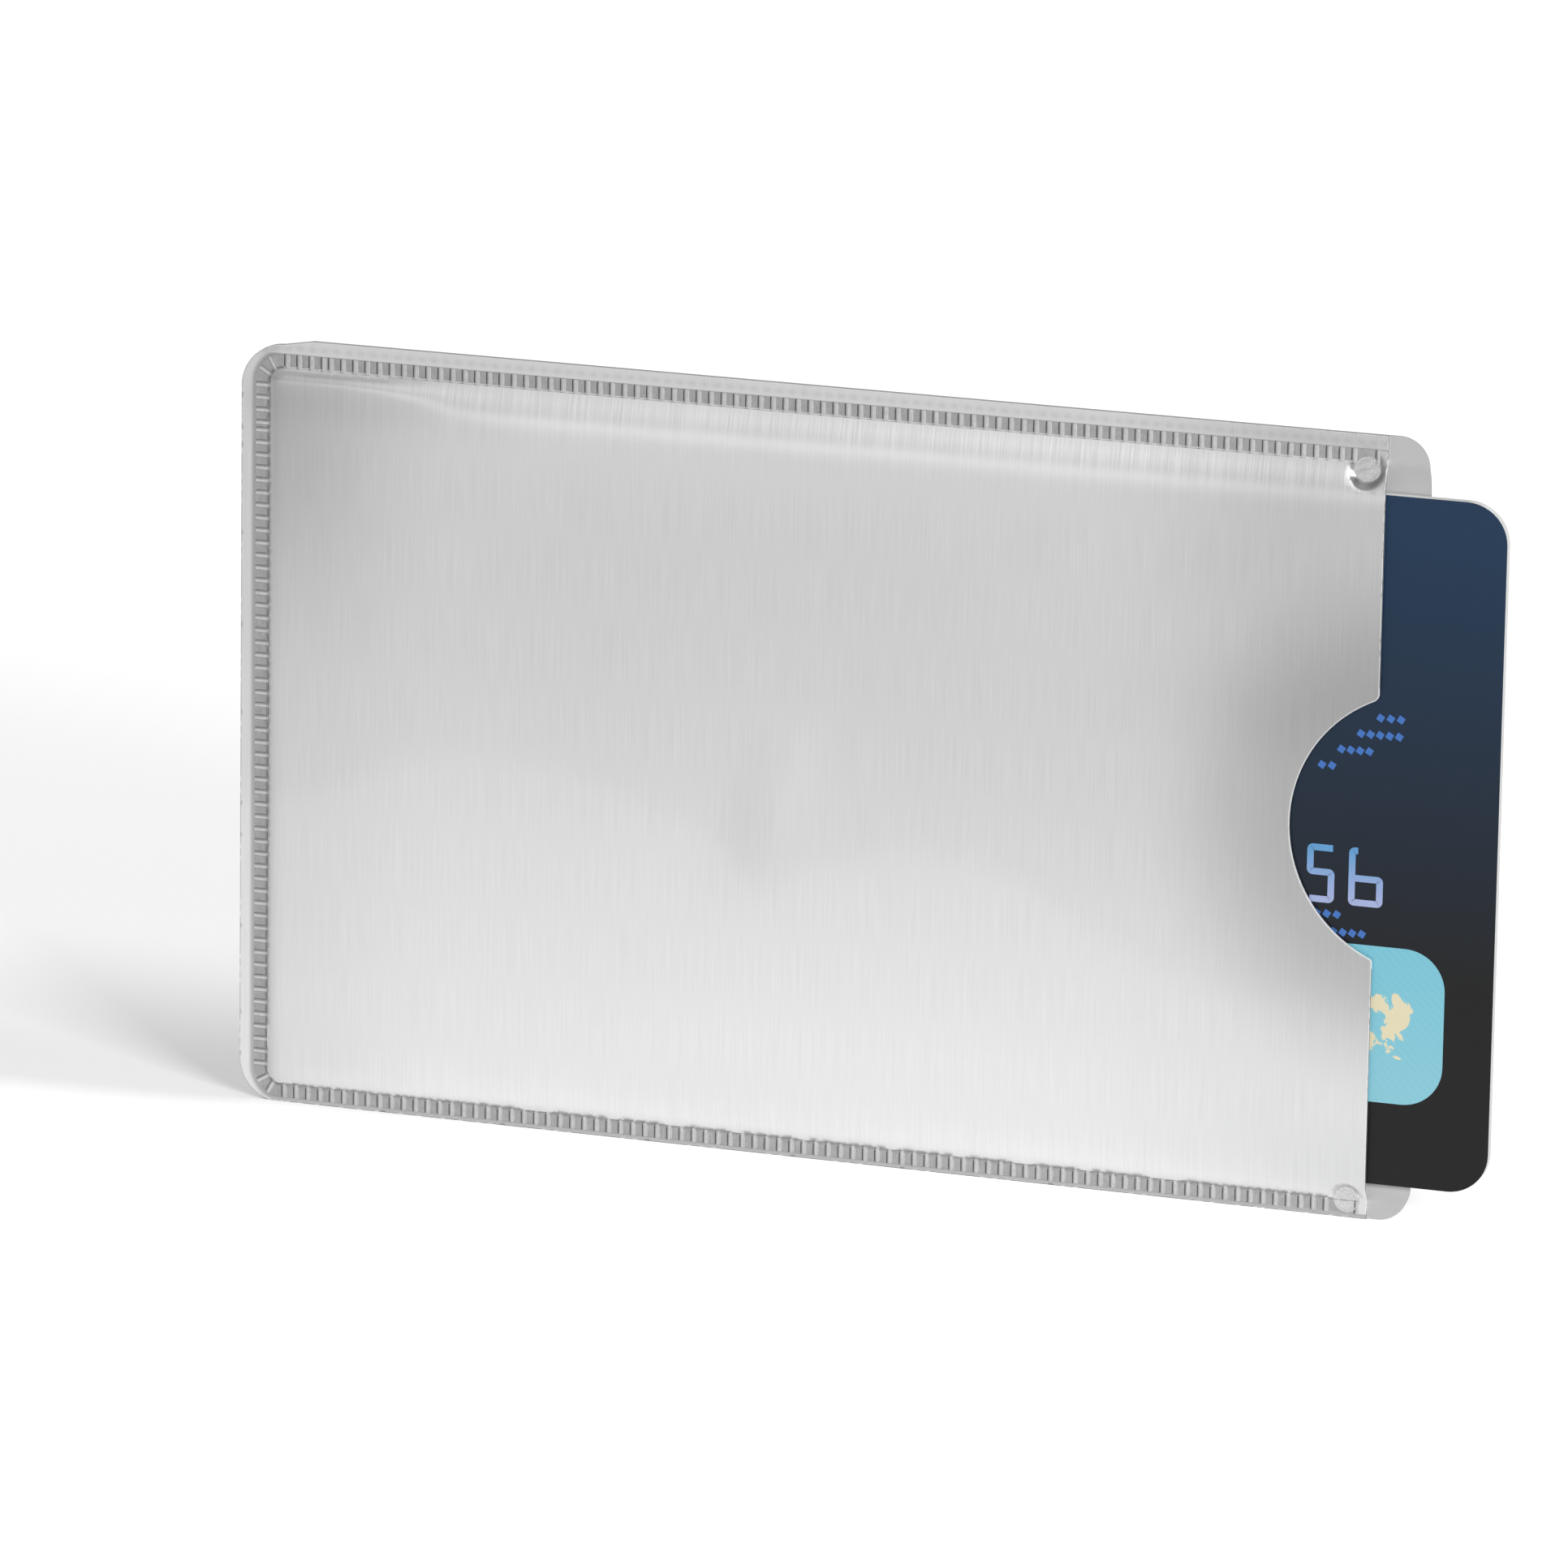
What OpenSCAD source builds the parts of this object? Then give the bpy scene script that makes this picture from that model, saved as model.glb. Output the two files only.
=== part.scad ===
// Shielding sleeve for one bank-card sized card, with a card part way out of its mouth.
// Two laminates are welded along three sides. The sleeve stands on its long lower edge:
// length along X with the mouth at +X, thickness along Y with the notched front towards -Y,
// height along Z. The origin is under the middle of the whole length, on the lower edge.

/* [Card] */
// Length of the card
card_l = 85.6; // [80:0.1:95]
// Height of the card
card_h = 53.98; // [48:0.01:60]
// Corner radius of the card
card_corner_r = 3.18; // [2:0.01:5]
// Thickness of each printed face sheet
face_sheet_t = 0.1; // [0.06:0.01:0.16]
// Thickness of each white core sheet
core_sheet_t = 0.18; // [0.12:0.01:0.3]
// Thickness of the inlay sheet that carries the antenna
inlay_t = 0.2; // [0.14:0.01:0.3]
// How far the card stands out past the front laminate
card_out = 9.5; // [4:0.1:30]

/* [Fit of the card in the pocket] */
// Room between the card and each laminate
pocket_gap = 0.37; // [0.3:0.01:0.8]
// Room between the card's lower edge and the rise of the laminates
lower_gap = 0.5; // [0.4:0.1:2]
// Room between the card's upper edge and the rise of the laminates
upper_gap = 1.25; // [0.9:0.05:3]
// Room behind a card that is pushed home
end_gap = 0.15; // [0.1:0.05:2]
// How far the front laminate reaches past a card that is pushed home
mouth_cover = 3.2; // [1:0.1:6]

/* [Laminates] */
// Thickness of the outer film
film_t = 0.11; // [0.1:0.01:0.2]
// Thickness of the shield foil
foil_t = 0.04; // [0.03:0.01:0.08]
// Thickness of the seal liner
liner_t = 0.07; // [0.05:0.01:0.12]
// Width of the slope between the weld and the raised panel
rise_w = 1; // [0.9:0.1:2]
// Corner radius of the raised panel
panel_corner_r = 0.2; // [0.1:0.05:1]
// Trim radius of the two corners at the closed end
end_corner_r = 3.5; // [2:0.1:4.5]
// How far the upper trim radius ends under the upper edge
upper_trim_drop = 0.6; // [0.2:0.1:1]
// Length of the slanted trim between that radius and the upper edge
upper_trim_l = 3.7; // [1:0.1:8]
// How far the lower trim radius runs out past the lower edge
lower_trim_cut = 0.2; // [0.1:0.05:0.6]
// How far the back laminate reaches past the front one, as a tongue
tongue_l = 3.2; // [2:0.1:6]
// Corner radius of the tongue
tongue_corner_r = 3.3; // [1:0.1:6]

/* [Thumb notch] */
// Radius of the notch in the mouth of the front laminate
notch_r = 11.05; // [8:0.05:15]
// Depth of the notch
notch_depth = 6.8; // [3:0.1:7.5]
// How far the middle of the notch lies above the middle of the sleeve
notch_rise = 0.2; // [0:0.1:3]
// Rounding of the upper point where the notch meets the mouth
upper_point_r = 0.65; // [0.2:0.05:2]
// Rounding of the lower point where the notch meets the mouth
lower_point_r = 0.3; // [0.2:0.05:2]

/* [Weld seam] */
// Width of the weld band
weld_w = 1.1; // [0.8:0.05:1.6]
// Laminate left outside the upper weld
upper_flange = 1.15; // [1:0.05:2]
// Laminate left outside the weld of the closed end
end_flange = 1.2; // [1.2:0.05:2]
// Laminate left outside the lower weld
lower_flange = 0.33; // [0.3:0.01:1.5]
// Pitch of the cells along the weld
cell_pitch = 1; // [0.8:0.05:2]
// Width of the rib between two cells
rib_w = 0.2; // [0.1:0.05:0.3]
// Depth to which the weld is pressed into the outer film
press_depth = 0.07; // [0.05:0.01:0.09]
// Thickness of the pressed floor of a cell
cell_floor_t = 0.03; // [0.02:0.01:0.04]
// How far the ribs stand over the outer film
rib_proud = 0.02; // [0.01:0.01:0.05]
// Width of the bead that is squeezed out along the pocket side
bead_w = 0.15; // [0.1:0.01:0.3]
// How far the bead stands over the ribs
bead_proud = 0.03; // [0.01:0.01:0.06]
// Wedge cells in each corner
corner_cells = 3; // [2:1:6]
// Distance from the start of a straight weld to its first rib
first_rib = 0.15; // [0.05:0.01:0.7]
// Distance from the mouth to the end of the straight welds
weld_end_gap = 0.65; // [0.4:0.05:3]
// Least length of the long last cell beside the mouth
last_cell_l = 1.7; // [1:0.1:3]

/* [Mouth welds] */
// Radius of the round weld at each end of the mouth
spot_r = 1.03; // [0.7:0.01:1.2]
// Distance from the mouth to the centre of a round weld
spot_inset = 1.6; // [1.5:0.1:4]
// Distance from the upper weld band to the centre of its round weld, towards the pocket
upper_spot_drop = 0.43; // [0:0.01:0.6]
// Distance from the lower weld band to the centre of its round weld, towards the pocket
lower_spot_rise = 0.01; // [0:0.01:0.1]
// Flat laminate left beside a round weld
pad_margin = 0.05; // [0.02:0.01:0.1]
// Width of the slope from there to the panel
pad_rise_w = 0.35; // [0.25:0.05:0.45]

/* [Chip and antenna] */
// Distance from the card's rear edge to the contact plate
plate_x = 9.4; // [8:0.1:12]
// Distance from the card's upper edge to the contact plate
plate_drop = 18.6; // [17:0.1:22]
// Length of the contact plate
plate_l = 13; // [11:0.1:14]
// Height of the contact plate
plate_h = 11.8; // [9:0.1:13]
// Corner radius of the contact plate
plate_corner_r = 1.6; // [0.5:0.1:2.5]
// Width of the grooves that part the contacts
contact_groove_w = 0.2; // [0.1:0.05:0.4]
// Depth of the grooves that part the contacts
contact_groove_d = 0.04; // [0.02:0.01:0.05]
// Room round the contact plate and round the chip
plate_gap = 0.03; // [0.02:0.01:0.1]
// Side of the potted chip under the contact plate
chip_side = 8; // [5:0.1:9]
// Turns of the antenna
antenna_turns = 4; // [2:1:6]
// Width of the antenna track
track_w = 0.5; // [0.3:0.05:0.8]
// Distance between the middles of two tracks
track_pitch = 1.1; // [1:0.05:1.2]
// Thickness of the antenna track
track_t = 0.04; // [0.02:0.01:0.06]
// Distance from the card's edge to the middle of the outer track
antenna_inset = 3; // [2:0.1:3.5]
// Distance from the chip to the end of the bridge under the turns
bridge_gap = 3; // [1:0.1:6]

/* [Foil, stripe and panel on the faces] */
// Thickness of what is set into the face sheets
inset_t = 0.02; // [0.01:0.01:0.03]
// Length of the emblem foil
emblem_l = 19.5; // [12:0.1:26]
// Height of the emblem foil
emblem_h = 12.3; // [8:0.1:16]
// Corner radius of the emblem foil
emblem_corner_r = 3.2; // [0.5:0.1:3.9]
// Distance from the card's front edge to the emblem foil
emblem_x = 3.8; // [2:0.1:8]
// Distance from the card's lower edge to the emblem foil
emblem_z = 6.5; // [4:0.1:12]
// Height of the magnetic stripe
stripe_h = 10.8; // [6:0.1:13]
// Distance from the card's upper edge to the magnetic stripe
stripe_drop = 5; // [4:0.1:6]
// Length of the signature panel
signature_l = 56; // [40:0.5:70]
// Height of the signature panel
signature_h = 9; // [6:0.1:12]
// Distance from the card's rear edge to the signature panel
signature_x = 6; // [4:0.1:12]
// Distance from the magnetic stripe to the signature panel
signature_drop = 4; // [2:0.1:8]

/* [Hidden] */
$fn = 64;

// Straight steps in which a slope follows its curve, and the grain of their heights
slope_steps = 5;
height_grain = 0.001;
// How far a cutting shape runs past what it cuts
bite = 0.1;

laminate_t = film_t + foil_t + liner_t;
card_t = 2 * face_sheet_t + 2 * core_sheet_t + inlay_t;
rise_h = card_t / 2 + pocket_gap;

// Weld band of the closed end: its inner edge is where the slope starts
weld_in_r = rise_w + panel_corner_r;
weld_out_r = weld_in_r + weld_w;
weld_x = end_flange + weld_w;
weld_z0 = lower_flange + weld_w;
corner_x = end_flange + weld_out_r;
corner_z0 = lower_flange + weld_out_r;

// Raised panel, and the pocket under it
panel_x0 = weld_x + rise_w;
panel_z0 = weld_z0 + rise_w;
card_home_x = panel_x0 + end_gap;
front_l = card_home_x + card_l + mouth_cover;
back_l = front_l + tongue_l;
card_z0 = panel_z0 + lower_gap;
card_z1 = card_z0 + card_h;
panel_z1 = card_z1 + upper_gap;
weld_z1 = panel_z1 + rise_w;
sleeve_h = weld_z1 + weld_w + upper_flange;
corner_z1 = sleeve_h - upper_flange - weld_out_r;

// Card at rest, and the whole part
card_x0 = front_l + card_out - card_l;
part_l = max(front_l + card_out, back_l);

// Straight welds
run_l = front_l - weld_end_gap - corner_x;
end_run_l = corner_z1 - corner_z0;
press_floor = laminate_t - press_depth;
rib_top = press_depth + rib_proud;
bead_top = rib_top + bead_proud;

// Round welds
spot_x = front_l - spot_inset;
spot_heights = [weld_z0 + lower_spot_rise, weld_z1 - upper_spot_drop];

// Edges at which the laminates rise: along the welds, and beside the round welds
weld_edges = [weld_z0, weld_z1];
pad_edges = [spot_heights[0] + spot_r + pad_margin, spot_heights[1] - spot_r - pad_margin];
pad_x = spot_x - spot_r - pad_rise_w;

// Layers of the card, as distances from its middle towards the front
face_top = card_t / 2;
core_top = face_top - face_sheet_t;
inlay_top = inlay_t / 2;

// Chip under the contact plate, from the card's lower rear corner
plate_z = card_h - plate_drop - plate_h;
chip_x = plate_x + (plate_l - chip_side) / 2;
chip_z = plate_z + (plate_h - chip_side) / 2;
chip_middle = chip_side / 2;
bridge_end_z = chip_z - bridge_gap;

// Height of a slope at a share of its width, in whole grains
function slope_at(share) =
    round(rise_h * (1 - cos(180 * share)) / 2 / height_grain) * height_grain;

// Places a shape drawn as length, height and distance from the middle on the front half
module front_half() {
    translate([-part_l / 2, 0, 0])
        rotate([90, 0, 0])
            children();
}

// The same on the back half
module back_half() {
    mirror([0, 1, 0])
        front_half()
            children();
}

// The same on the front half, from the floor to which the weld is pressed
module at_press_floor() {
    front_half()
        translate([0, 0, press_floor])
            children();
}

// Rectangle with round corners, from its lower rear corner
module round_rectangle(l, h, r) {
    translate([r, 0])
        square([l - 2 * r, h]);
    translate([0, r])
        square([l, h - 2 * r]);
    for (x = [r, l - r], y = [r, h - r])
        translate([x, y])
            circle(r);
}

// What the trim takes off both laminates at the closed end
module closed_end_trim() {
    upper_z = sleeve_h - upper_trim_drop - end_corner_r;
    lower_z = end_corner_r - lower_trim_cut;
    difference() {
        polygon([
            [-bite, upper_z],
            [end_corner_r, upper_z],
            [end_corner_r, sleeve_h - upper_trim_drop],
            [end_corner_r + upper_trim_l, sleeve_h],
            [end_corner_r + upper_trim_l, sleeve_h + bite],
            [-bite, sleeve_h + bite]
        ]);
        translate([end_corner_r, upper_z])
            circle(end_corner_r);
    }
    difference() {
        translate([-bite, -bite])
            square([end_corner_r + bite, lower_z + bite]);
        translate([end_corner_r, lower_z])
            circle(end_corner_r);
    }
}

// Rounds the upper point of the notch, seen from the middle of the notch
module notch_point(r) {
    beyond = notch_r - notch_depth;
    share = notch_r / (notch_r + r);
    centre_x = -beyond - r;
    centre_z = sqrt(pow(notch_r + r, 2) - pow(beyond + r, 2));
    difference() {
        polygon([
            [centre_x * share, centre_z * share],
            [centre_x, centre_z],
            [bite - beyond, centre_z],
            [bite - beyond, centre_z * share - r],
            [centre_x * share, centre_z * share - r / 2]
        ]);
        translate([centre_x, centre_z])
            circle(r);
    }
}

module notch_outline() {
    translate([front_l - notch_depth + notch_r, sleeve_h / 2 + notch_rise]) {
        circle(notch_r);
        notch_point(upper_point_r);
        mirror([0, 1])
            notch_point(lower_point_r);
    }
}

module front_outline() {
    difference() {
        square([front_l, sleeve_h]);
        closed_end_trim();
        notch_outline();
    }
}

// Cuts the lower corner of the tongue round
module tongue_corner() {
    r = tongue_corner_r;
    difference() {
        translate([back_l - r, -bite])
            square([r + bite, r + bite]);
        translate([back_l - r, r])
            circle(r);
    }
}

module back_outline() {
    difference() {
        square([back_l, sleeve_h]);
        closed_end_trim();
        tongue_corner();
        translate([0, sleeve_h])
            mirror([0, 1])
                tongue_corner();
    }
}

// Points in the other order
function backwards(points) = [for (i = [len(points) - 1:-1:0]) points[i]];

// Rising curve of a slope, from a height, over a width
function slope_curve(width, height) = [
    for (i = [0:slope_steps]) [width * i / slope_steps, height + slope_at(i / slope_steps)]
];

// Surface of a laminate across the sleeve: it rises at one edge and falls back at the other
function across(height, edges, width) = concat(
    [[0, height]],
    [for (p = slope_curve(width, height)) [edges[0] + p[0], p[1]]],
    [for (p = backwards(slope_curve(width, height))) [edges[1] - p[0], p[1]]],
    [[sleeve_h, height]]
);

// Slab between two surfaces across the sleeve, from one place along it to another
module slab_between(lower_points, upper_points, from_x, to_x) {
    translate([from_x, 0, 0])
        rotate([90, 0, 90])
            linear_extrude(to_x - from_x)
                polygon(concat(upper_points, backwards(lower_points)));
}

// Outline inside the weld at a distance from it, as far as a place along the sleeve
module inside_weld(distance, to_x) {
    translate([corner_x, weld_z0 + distance])
        square([to_x - corner_x, weld_z1 - weld_z0 - 2 * distance]);
    translate([weld_x + distance, corner_z0])
        square([to_x - weld_x - distance, end_run_l]);
    for (z = [corner_z0, corner_z1])
        translate([corner_x, z])
            circle(weld_in_r - distance);
}

// One layer of a laminate as far as the pads of the round welds
module layer_before_pads(low, high) {
    to_x = pad_x + low;
    strip = concat(slope_curve(rise_w, low), backwards(slope_curve(rise_w, high)));
    translate([0, 0, low])
        linear_extrude(high - low)
            difference() {
                square([to_x, sleeve_h]);
                inside_weld(0, to_x + bite);
            }
    translate([0, 0, low + rise_h])
        linear_extrude(high - low)
            inside_weld(rise_w, to_x);
    translate([corner_x, weld_z0, 0])
        rotate([90, 0, 90])
            linear_extrude(to_x - corner_x)
                polygon(strip);
    translate([corner_x, weld_z1, 0])
        rotate([90, 0, 90])
            linear_extrude(to_x - corner_x)
                mirror([1, 0])
                    polygon(strip);
    translate([weld_x, corner_z1, 0])
        rotate([90, 0, 0])
            linear_extrude(end_run_l)
                polygon(strip);
    for (corner = [[corner_z1, 90], [corner_z0, 180]])
        translate([corner_x, corner[0], 0])
            rotate([0, 0, corner[1]])
                rotate_extrude(angle = 90)
                    translate([weld_in_r, 0])
                        mirror([1, 0])
                            polygon(strip);
}

// One layer of a laminate, between two heights over the flange, trimmed to an outline
module laminate_layer(low, high) {
    intersection() {
        union() {
            layer_before_pads(low, high);
            slab_between(across(low, pad_edges, pad_rise_w), across(high, weld_edges, rise_w),
                pad_x + low, pad_x + high);
            slab_between(across(low, pad_edges, pad_rise_w), across(high, pad_edges, pad_rise_w),
                pad_x + high, back_l);
        }
        linear_extrude(high + rise_h + bite)
            children();
    }
}

// Quarter of a ring that starts at an angle
module quarter_ring(inner_r, outer_r, angle) {
    intersection() {
        difference() {
            circle(outer_r);
            circle(inner_r);
        }
        rotate(angle)
            square(outer_r + bite);
    }
}

// Outline of all welds, seen from the front
module weld_outline() {
    translate([corner_x, lower_flange])
        square([run_l, weld_w]);
    translate([corner_x, weld_z1])
        square([run_l, weld_w]);
    translate([end_flange, corner_z0])
        square([weld_w, end_run_l]);
    translate([corner_x, corner_z1])
        quarter_ring(weld_in_r, weld_out_r, 90);
    translate([corner_x, corner_z0])
        quarter_ring(weld_in_r, weld_out_r, 180);
    for (z = spot_heights)
        translate([spot_x, z])
            circle(spot_r);
}

// Side view of a straight weld: a cell floor, a rib at every pitch, one at the end of a last cell
function comb_points(l, last) = concat(
    [[0, 0], [0, cell_floor_t]],
    [for (i = [0:floor((l - last - first_rib - rib_w) / cell_pitch)], step = [0:3])
        [first_rib + i * cell_pitch + (step > 1 ? rib_w : 0), step % 3 == 0 ? cell_floor_t : rib_top]],
    last > 0 ? [[l - rib_w, cell_floor_t], [l - rib_w, rib_top], [l, rib_top]] : [[l, cell_floor_t]],
    [[l, 0]]
);

// Straight weld that starts at the origin along X, with its bead on the far side
module weld_strip(l, last) {
    translate([0, weld_w, 0])
        rotate([90, 0, 0])
            linear_extrude(weld_w)
                polygon(comb_points(l, last));
    translate([0, weld_w - bead_w, 0])
        cube([l, bead_w, bead_top]);
}

// Wedge cells of the corner that starts at an angle, with ribs like spokes between them
module corner_weld(angle) {
    linear_extrude(cell_floor_t)
        quarter_ring(weld_in_r, weld_out_r, angle);
    linear_extrude(bead_top)
        quarter_ring(weld_in_r, weld_in_r + bead_w, angle);
    for (i = [1:corner_cells - 1])
        rotate([0, 0, angle + 90 * i / corner_cells])
            translate([weld_in_r + bead_w / 2, -rib_w / 2, 0])
                cube([weld_w - bead_w, rib_w, rib_top]);
}

// Leaves the places of the round welds free
module beside_spots() {
    difference() {
        children();
        for (z = spot_heights)
            translate([spot_x, z, -bite])
                cylinder(r = spot_r, h = bead_top + 2 * bite);
    }
}

// Round weld, pressed flat inside a low rim
module mouth_weld(z) {
    at_press_floor()
        translate([spot_x, z, 0])
            difference() {
                cylinder(r = spot_r, h = rib_top);
                translate([0, 0, cell_floor_t])
                    cylinder(r = spot_r - bead_w, h = rib_top);
            }
}

module front_film() {
    color("silver")
        difference() {
            front_half()
                laminate_layer(foil_t + liner_t, laminate_t)
                    front_outline();
            at_press_floor()
                linear_extrude(press_depth + bite)
                    weld_outline();
        }
}

module front_shield_foil() {
    color("lightgray")
        front_half()
            laminate_layer(liner_t, foil_t + liner_t)
                front_outline();
}

module front_seal_liner() {
    color("whitesmoke")
        front_half()
            laminate_layer(0, liner_t)
                front_outline();
}

module back_film() {
    color("gainsboro")
        back_half()
            laminate_layer(foil_t + liner_t, laminate_t)
                back_outline();
}

module back_shield_foil() {
    color("lightgray")
        back_half()
            laminate_layer(liner_t, foil_t + liner_t)
                back_outline();
}

module back_seal_liner() {
    color("lightgray")
        back_half()
            laminate_layer(0, liner_t)
                back_outline();
}

module top_weld_seam() {
    color("darkgray")
        at_press_floor()
            beside_spots()
                translate([corner_x, weld_z1 + weld_w, 0])
                    mirror([0, 1, 0])
                        weld_strip(run_l, last_cell_l);
}

module closed_end_weld_seam() {
    color("darkgray")
        at_press_floor() {
            translate([end_flange, corner_z1, 0])
                rotate([0, 0, -90])
                    weld_strip(end_run_l, 0);
            translate([corner_x, corner_z1, 0])
                corner_weld(90);
            translate([corner_x, corner_z0, 0])
                corner_weld(180);
        }
}

module bottom_weld_seam() {
    color("darkgray")
        at_press_floor()
            beside_spots()
                translate([corner_x, lower_flange, 0])
                    weld_strip(run_l, last_cell_l);
}

module top_mouth_weld() {
    color("darkgray")
        mouth_weld(spot_heights[1]);
}

module bottom_mouth_weld() {
    color("darkgray")
        mouth_weld(spot_heights[0]);
}

// A layer of the card that starts at a distance from its middle towards the front
module card_layer(low, thickness) {
    front_half()
        translate([card_x0, card_z0, low])
            linear_extrude(thickness)
                children();
}

module card_outline() {
    round_rectangle(card_l, card_h, card_corner_r);
}

module plate_outline(room) {
    translate([plate_x - room, plate_z - room])
        round_rectangle(plate_l + 2 * room, plate_h + 2 * room, plate_corner_r + room);
}

module chip_outline(room) {
    translate([chip_x - room, chip_z - room])
        square(chip_side + 2 * room);
}

module emblem_outline() {
    translate([card_l - emblem_x - emblem_l, emblem_z])
        round_rectangle(emblem_l, emblem_h, emblem_corner_r);
}

module stripe_outline() {
    translate([0, card_h - stripe_drop - stripe_h])
        square([card_l, stripe_h]);
}

module signature_outline() {
    translate([signature_x, card_h - stripe_drop - stripe_h - signature_drop - signature_h])
        square([signature_l, signature_h]);
}

// Straight piece of track between the middles of its two ends
module track(from, to) {
    translate([min(from[0], to[0]) - track_w / 2, min(from[1], to[1]) - track_w / 2])
        square([abs(to[0] - from[0]) + track_w, abs(to[1] - from[1]) + track_w]);
}

// Track on the front of the inlay: it winds inwards from the bridge and ends at the chip
module antenna_turns_outline() {
    for (i = [0:antenna_turns - 1]) {
        edge = antenna_inset + i * track_pitch;
        start_x = i == 0 ? chip_x + chip_middle : edge - track_pitch;
        end_z = i == antenna_turns - 1 ? chip_z + chip_middle : edge + track_pitch;
        track([start_x, edge], [card_l - edge, edge]);
        track([card_l - edge, edge], [card_l - edge, card_h - edge]);
        track([card_l - edge, card_h - edge], [edge, card_h - edge]);
        track([edge, card_h - edge], [edge, end_z]);
    }
    inner_edge = antenna_inset + (antenna_turns - 1) * track_pitch;
    track([inner_edge, chip_z + chip_middle], [chip_x, chip_z + chip_middle]);
    track([chip_x + chip_middle, bridge_end_z], [chip_x + chip_middle, chip_z]);
}

// Pocket for the chip, down to the middle of the inlay
module chip_pocket() {
    card_layer(0, core_top + bite)
        chip_outline(plate_gap);
}

// Whole copper track: the turns, the bridge on the back of the inlay and the two posts through it
module antenna_track() {
    difference() {
        card_layer(inlay_top - track_t, track_t)
            antenna_turns_outline();
        chip_pocket();
    }
    card_layer(-inlay_top, track_t)
        track([chip_x + chip_middle, antenna_inset], [chip_x + chip_middle, bridge_end_z]);
    for (z = [antenna_inset, bridge_end_z])
        card_layer(-inlay_top, inlay_t)
            translate([chip_x + chip_middle, z])
                circle(track_w / 2);
}

module card_front_sheet() {
    color("midnightblue")
        difference() {
            card_layer(core_top, face_sheet_t)
                difference() {
                    card_outline();
                    plate_outline(plate_gap);
                }
            card_layer(face_top - inset_t, inset_t + bite)
                emblem_outline();
        }
}

module card_front_core() {
    color("white")
        card_layer(inlay_top, core_sheet_t)
            difference() {
                card_outline();
                chip_outline(plate_gap);
            }
}

module card_inlay() {
    color("ghostwhite")
        difference() {
            card_layer(-inlay_top, inlay_t)
                card_outline();
            chip_pocket();
            antenna_track();
        }
}

module card_back_core() {
    color("white")
        card_layer(-core_top, core_sheet_t)
            card_outline();
}

module card_back_sheet() {
    color("midnightblue")
        difference() {
            card_layer(-face_top, face_sheet_t)
                card_outline();
            card_layer(-face_top - bite, inset_t + bite) {
                stripe_outline();
                signature_outline();
            }
        }
}

module antenna_coil() {
    color("peru")
        antenna_track();
}

module chip_module() {
    color("dimgray")
        card_layer(0, core_top)
            chip_outline(0);
}

module contact_plate() {
    groove_x = [plate_l / 3, plate_l * 2 / 3];
    groove_z = [plate_h / 4, plate_h / 2, plate_h * 3 / 4];
    color("gold")
        difference() {
            card_layer(core_top, face_sheet_t)
                plate_outline(0);
            card_layer(face_top - contact_groove_d, contact_groove_d + bite)
                translate([plate_x - contact_groove_w / 2, plate_z - contact_groove_w / 2]) {
                    for (x = groove_x)
                        translate([x, -bite])
                            square([contact_groove_w, plate_h + contact_groove_w + 2 * bite]);
                    for (z = groove_z, x = [-bite, groove_x[1]])
                        translate([x, z])
                            square([plate_l / 3 + contact_groove_w + bite, contact_groove_w]);
                }
        }
}

module emblem_foil() {
    color("skyblue")
        card_layer(face_top - inset_t, inset_t)
            emblem_outline();
}

module magnetic_stripe() {
    color("black")
        card_layer(-face_top, inset_t)
            stripe_outline();
}

module signature_panel() {
    color("white")
        card_layer(-face_top, inset_t)
            signature_outline();
}

front_film();
front_shield_foil();
front_seal_liner();
back_film();
back_shield_foil();
back_seal_liner();
top_weld_seam();
closed_end_weld_seam();
bottom_weld_seam();
top_mouth_weld();
bottom_mouth_weld();
card_front_sheet();
card_front_core();
card_inlay();
card_back_core();
card_back_sheet();
antenna_coil();
chip_module();
contact_plate();
emblem_foil();
magnetic_stripe();
signature_panel();
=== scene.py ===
"""Looks of a welded card sleeve with a bank card part way out of its mouth.

Lengths are in millimetres until a mesh is made. Places on the sleeve are given as
u, the distance from its closed end, and z, the height over its lower edge.
"""

import math

import bmesh
import bpy
import numpy as np
from mathutils import Matrix, Vector
from mathutils.geometry import delaunay_2d_cdt


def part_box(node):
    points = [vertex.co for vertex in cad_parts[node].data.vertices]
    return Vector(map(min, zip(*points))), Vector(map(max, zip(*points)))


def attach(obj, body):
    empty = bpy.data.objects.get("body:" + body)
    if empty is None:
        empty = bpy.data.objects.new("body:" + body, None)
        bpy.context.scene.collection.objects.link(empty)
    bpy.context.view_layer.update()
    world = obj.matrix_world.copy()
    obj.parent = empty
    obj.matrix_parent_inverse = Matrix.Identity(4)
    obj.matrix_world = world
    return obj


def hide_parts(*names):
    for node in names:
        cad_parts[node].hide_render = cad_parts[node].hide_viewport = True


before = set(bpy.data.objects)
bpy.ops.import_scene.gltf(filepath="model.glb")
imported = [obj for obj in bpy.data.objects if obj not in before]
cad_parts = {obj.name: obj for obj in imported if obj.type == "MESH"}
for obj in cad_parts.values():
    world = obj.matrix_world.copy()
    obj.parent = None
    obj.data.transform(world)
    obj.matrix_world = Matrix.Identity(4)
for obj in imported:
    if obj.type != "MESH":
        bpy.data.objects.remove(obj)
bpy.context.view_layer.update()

MM = 0.001
FRONT, BACK = -1, 1

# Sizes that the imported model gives


def box_mm(node):
    """Lowest and highest corner of a node in millimetres."""
    low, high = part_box(node)
    return [value / MM for value in low], [value / MM for value in high]


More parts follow.
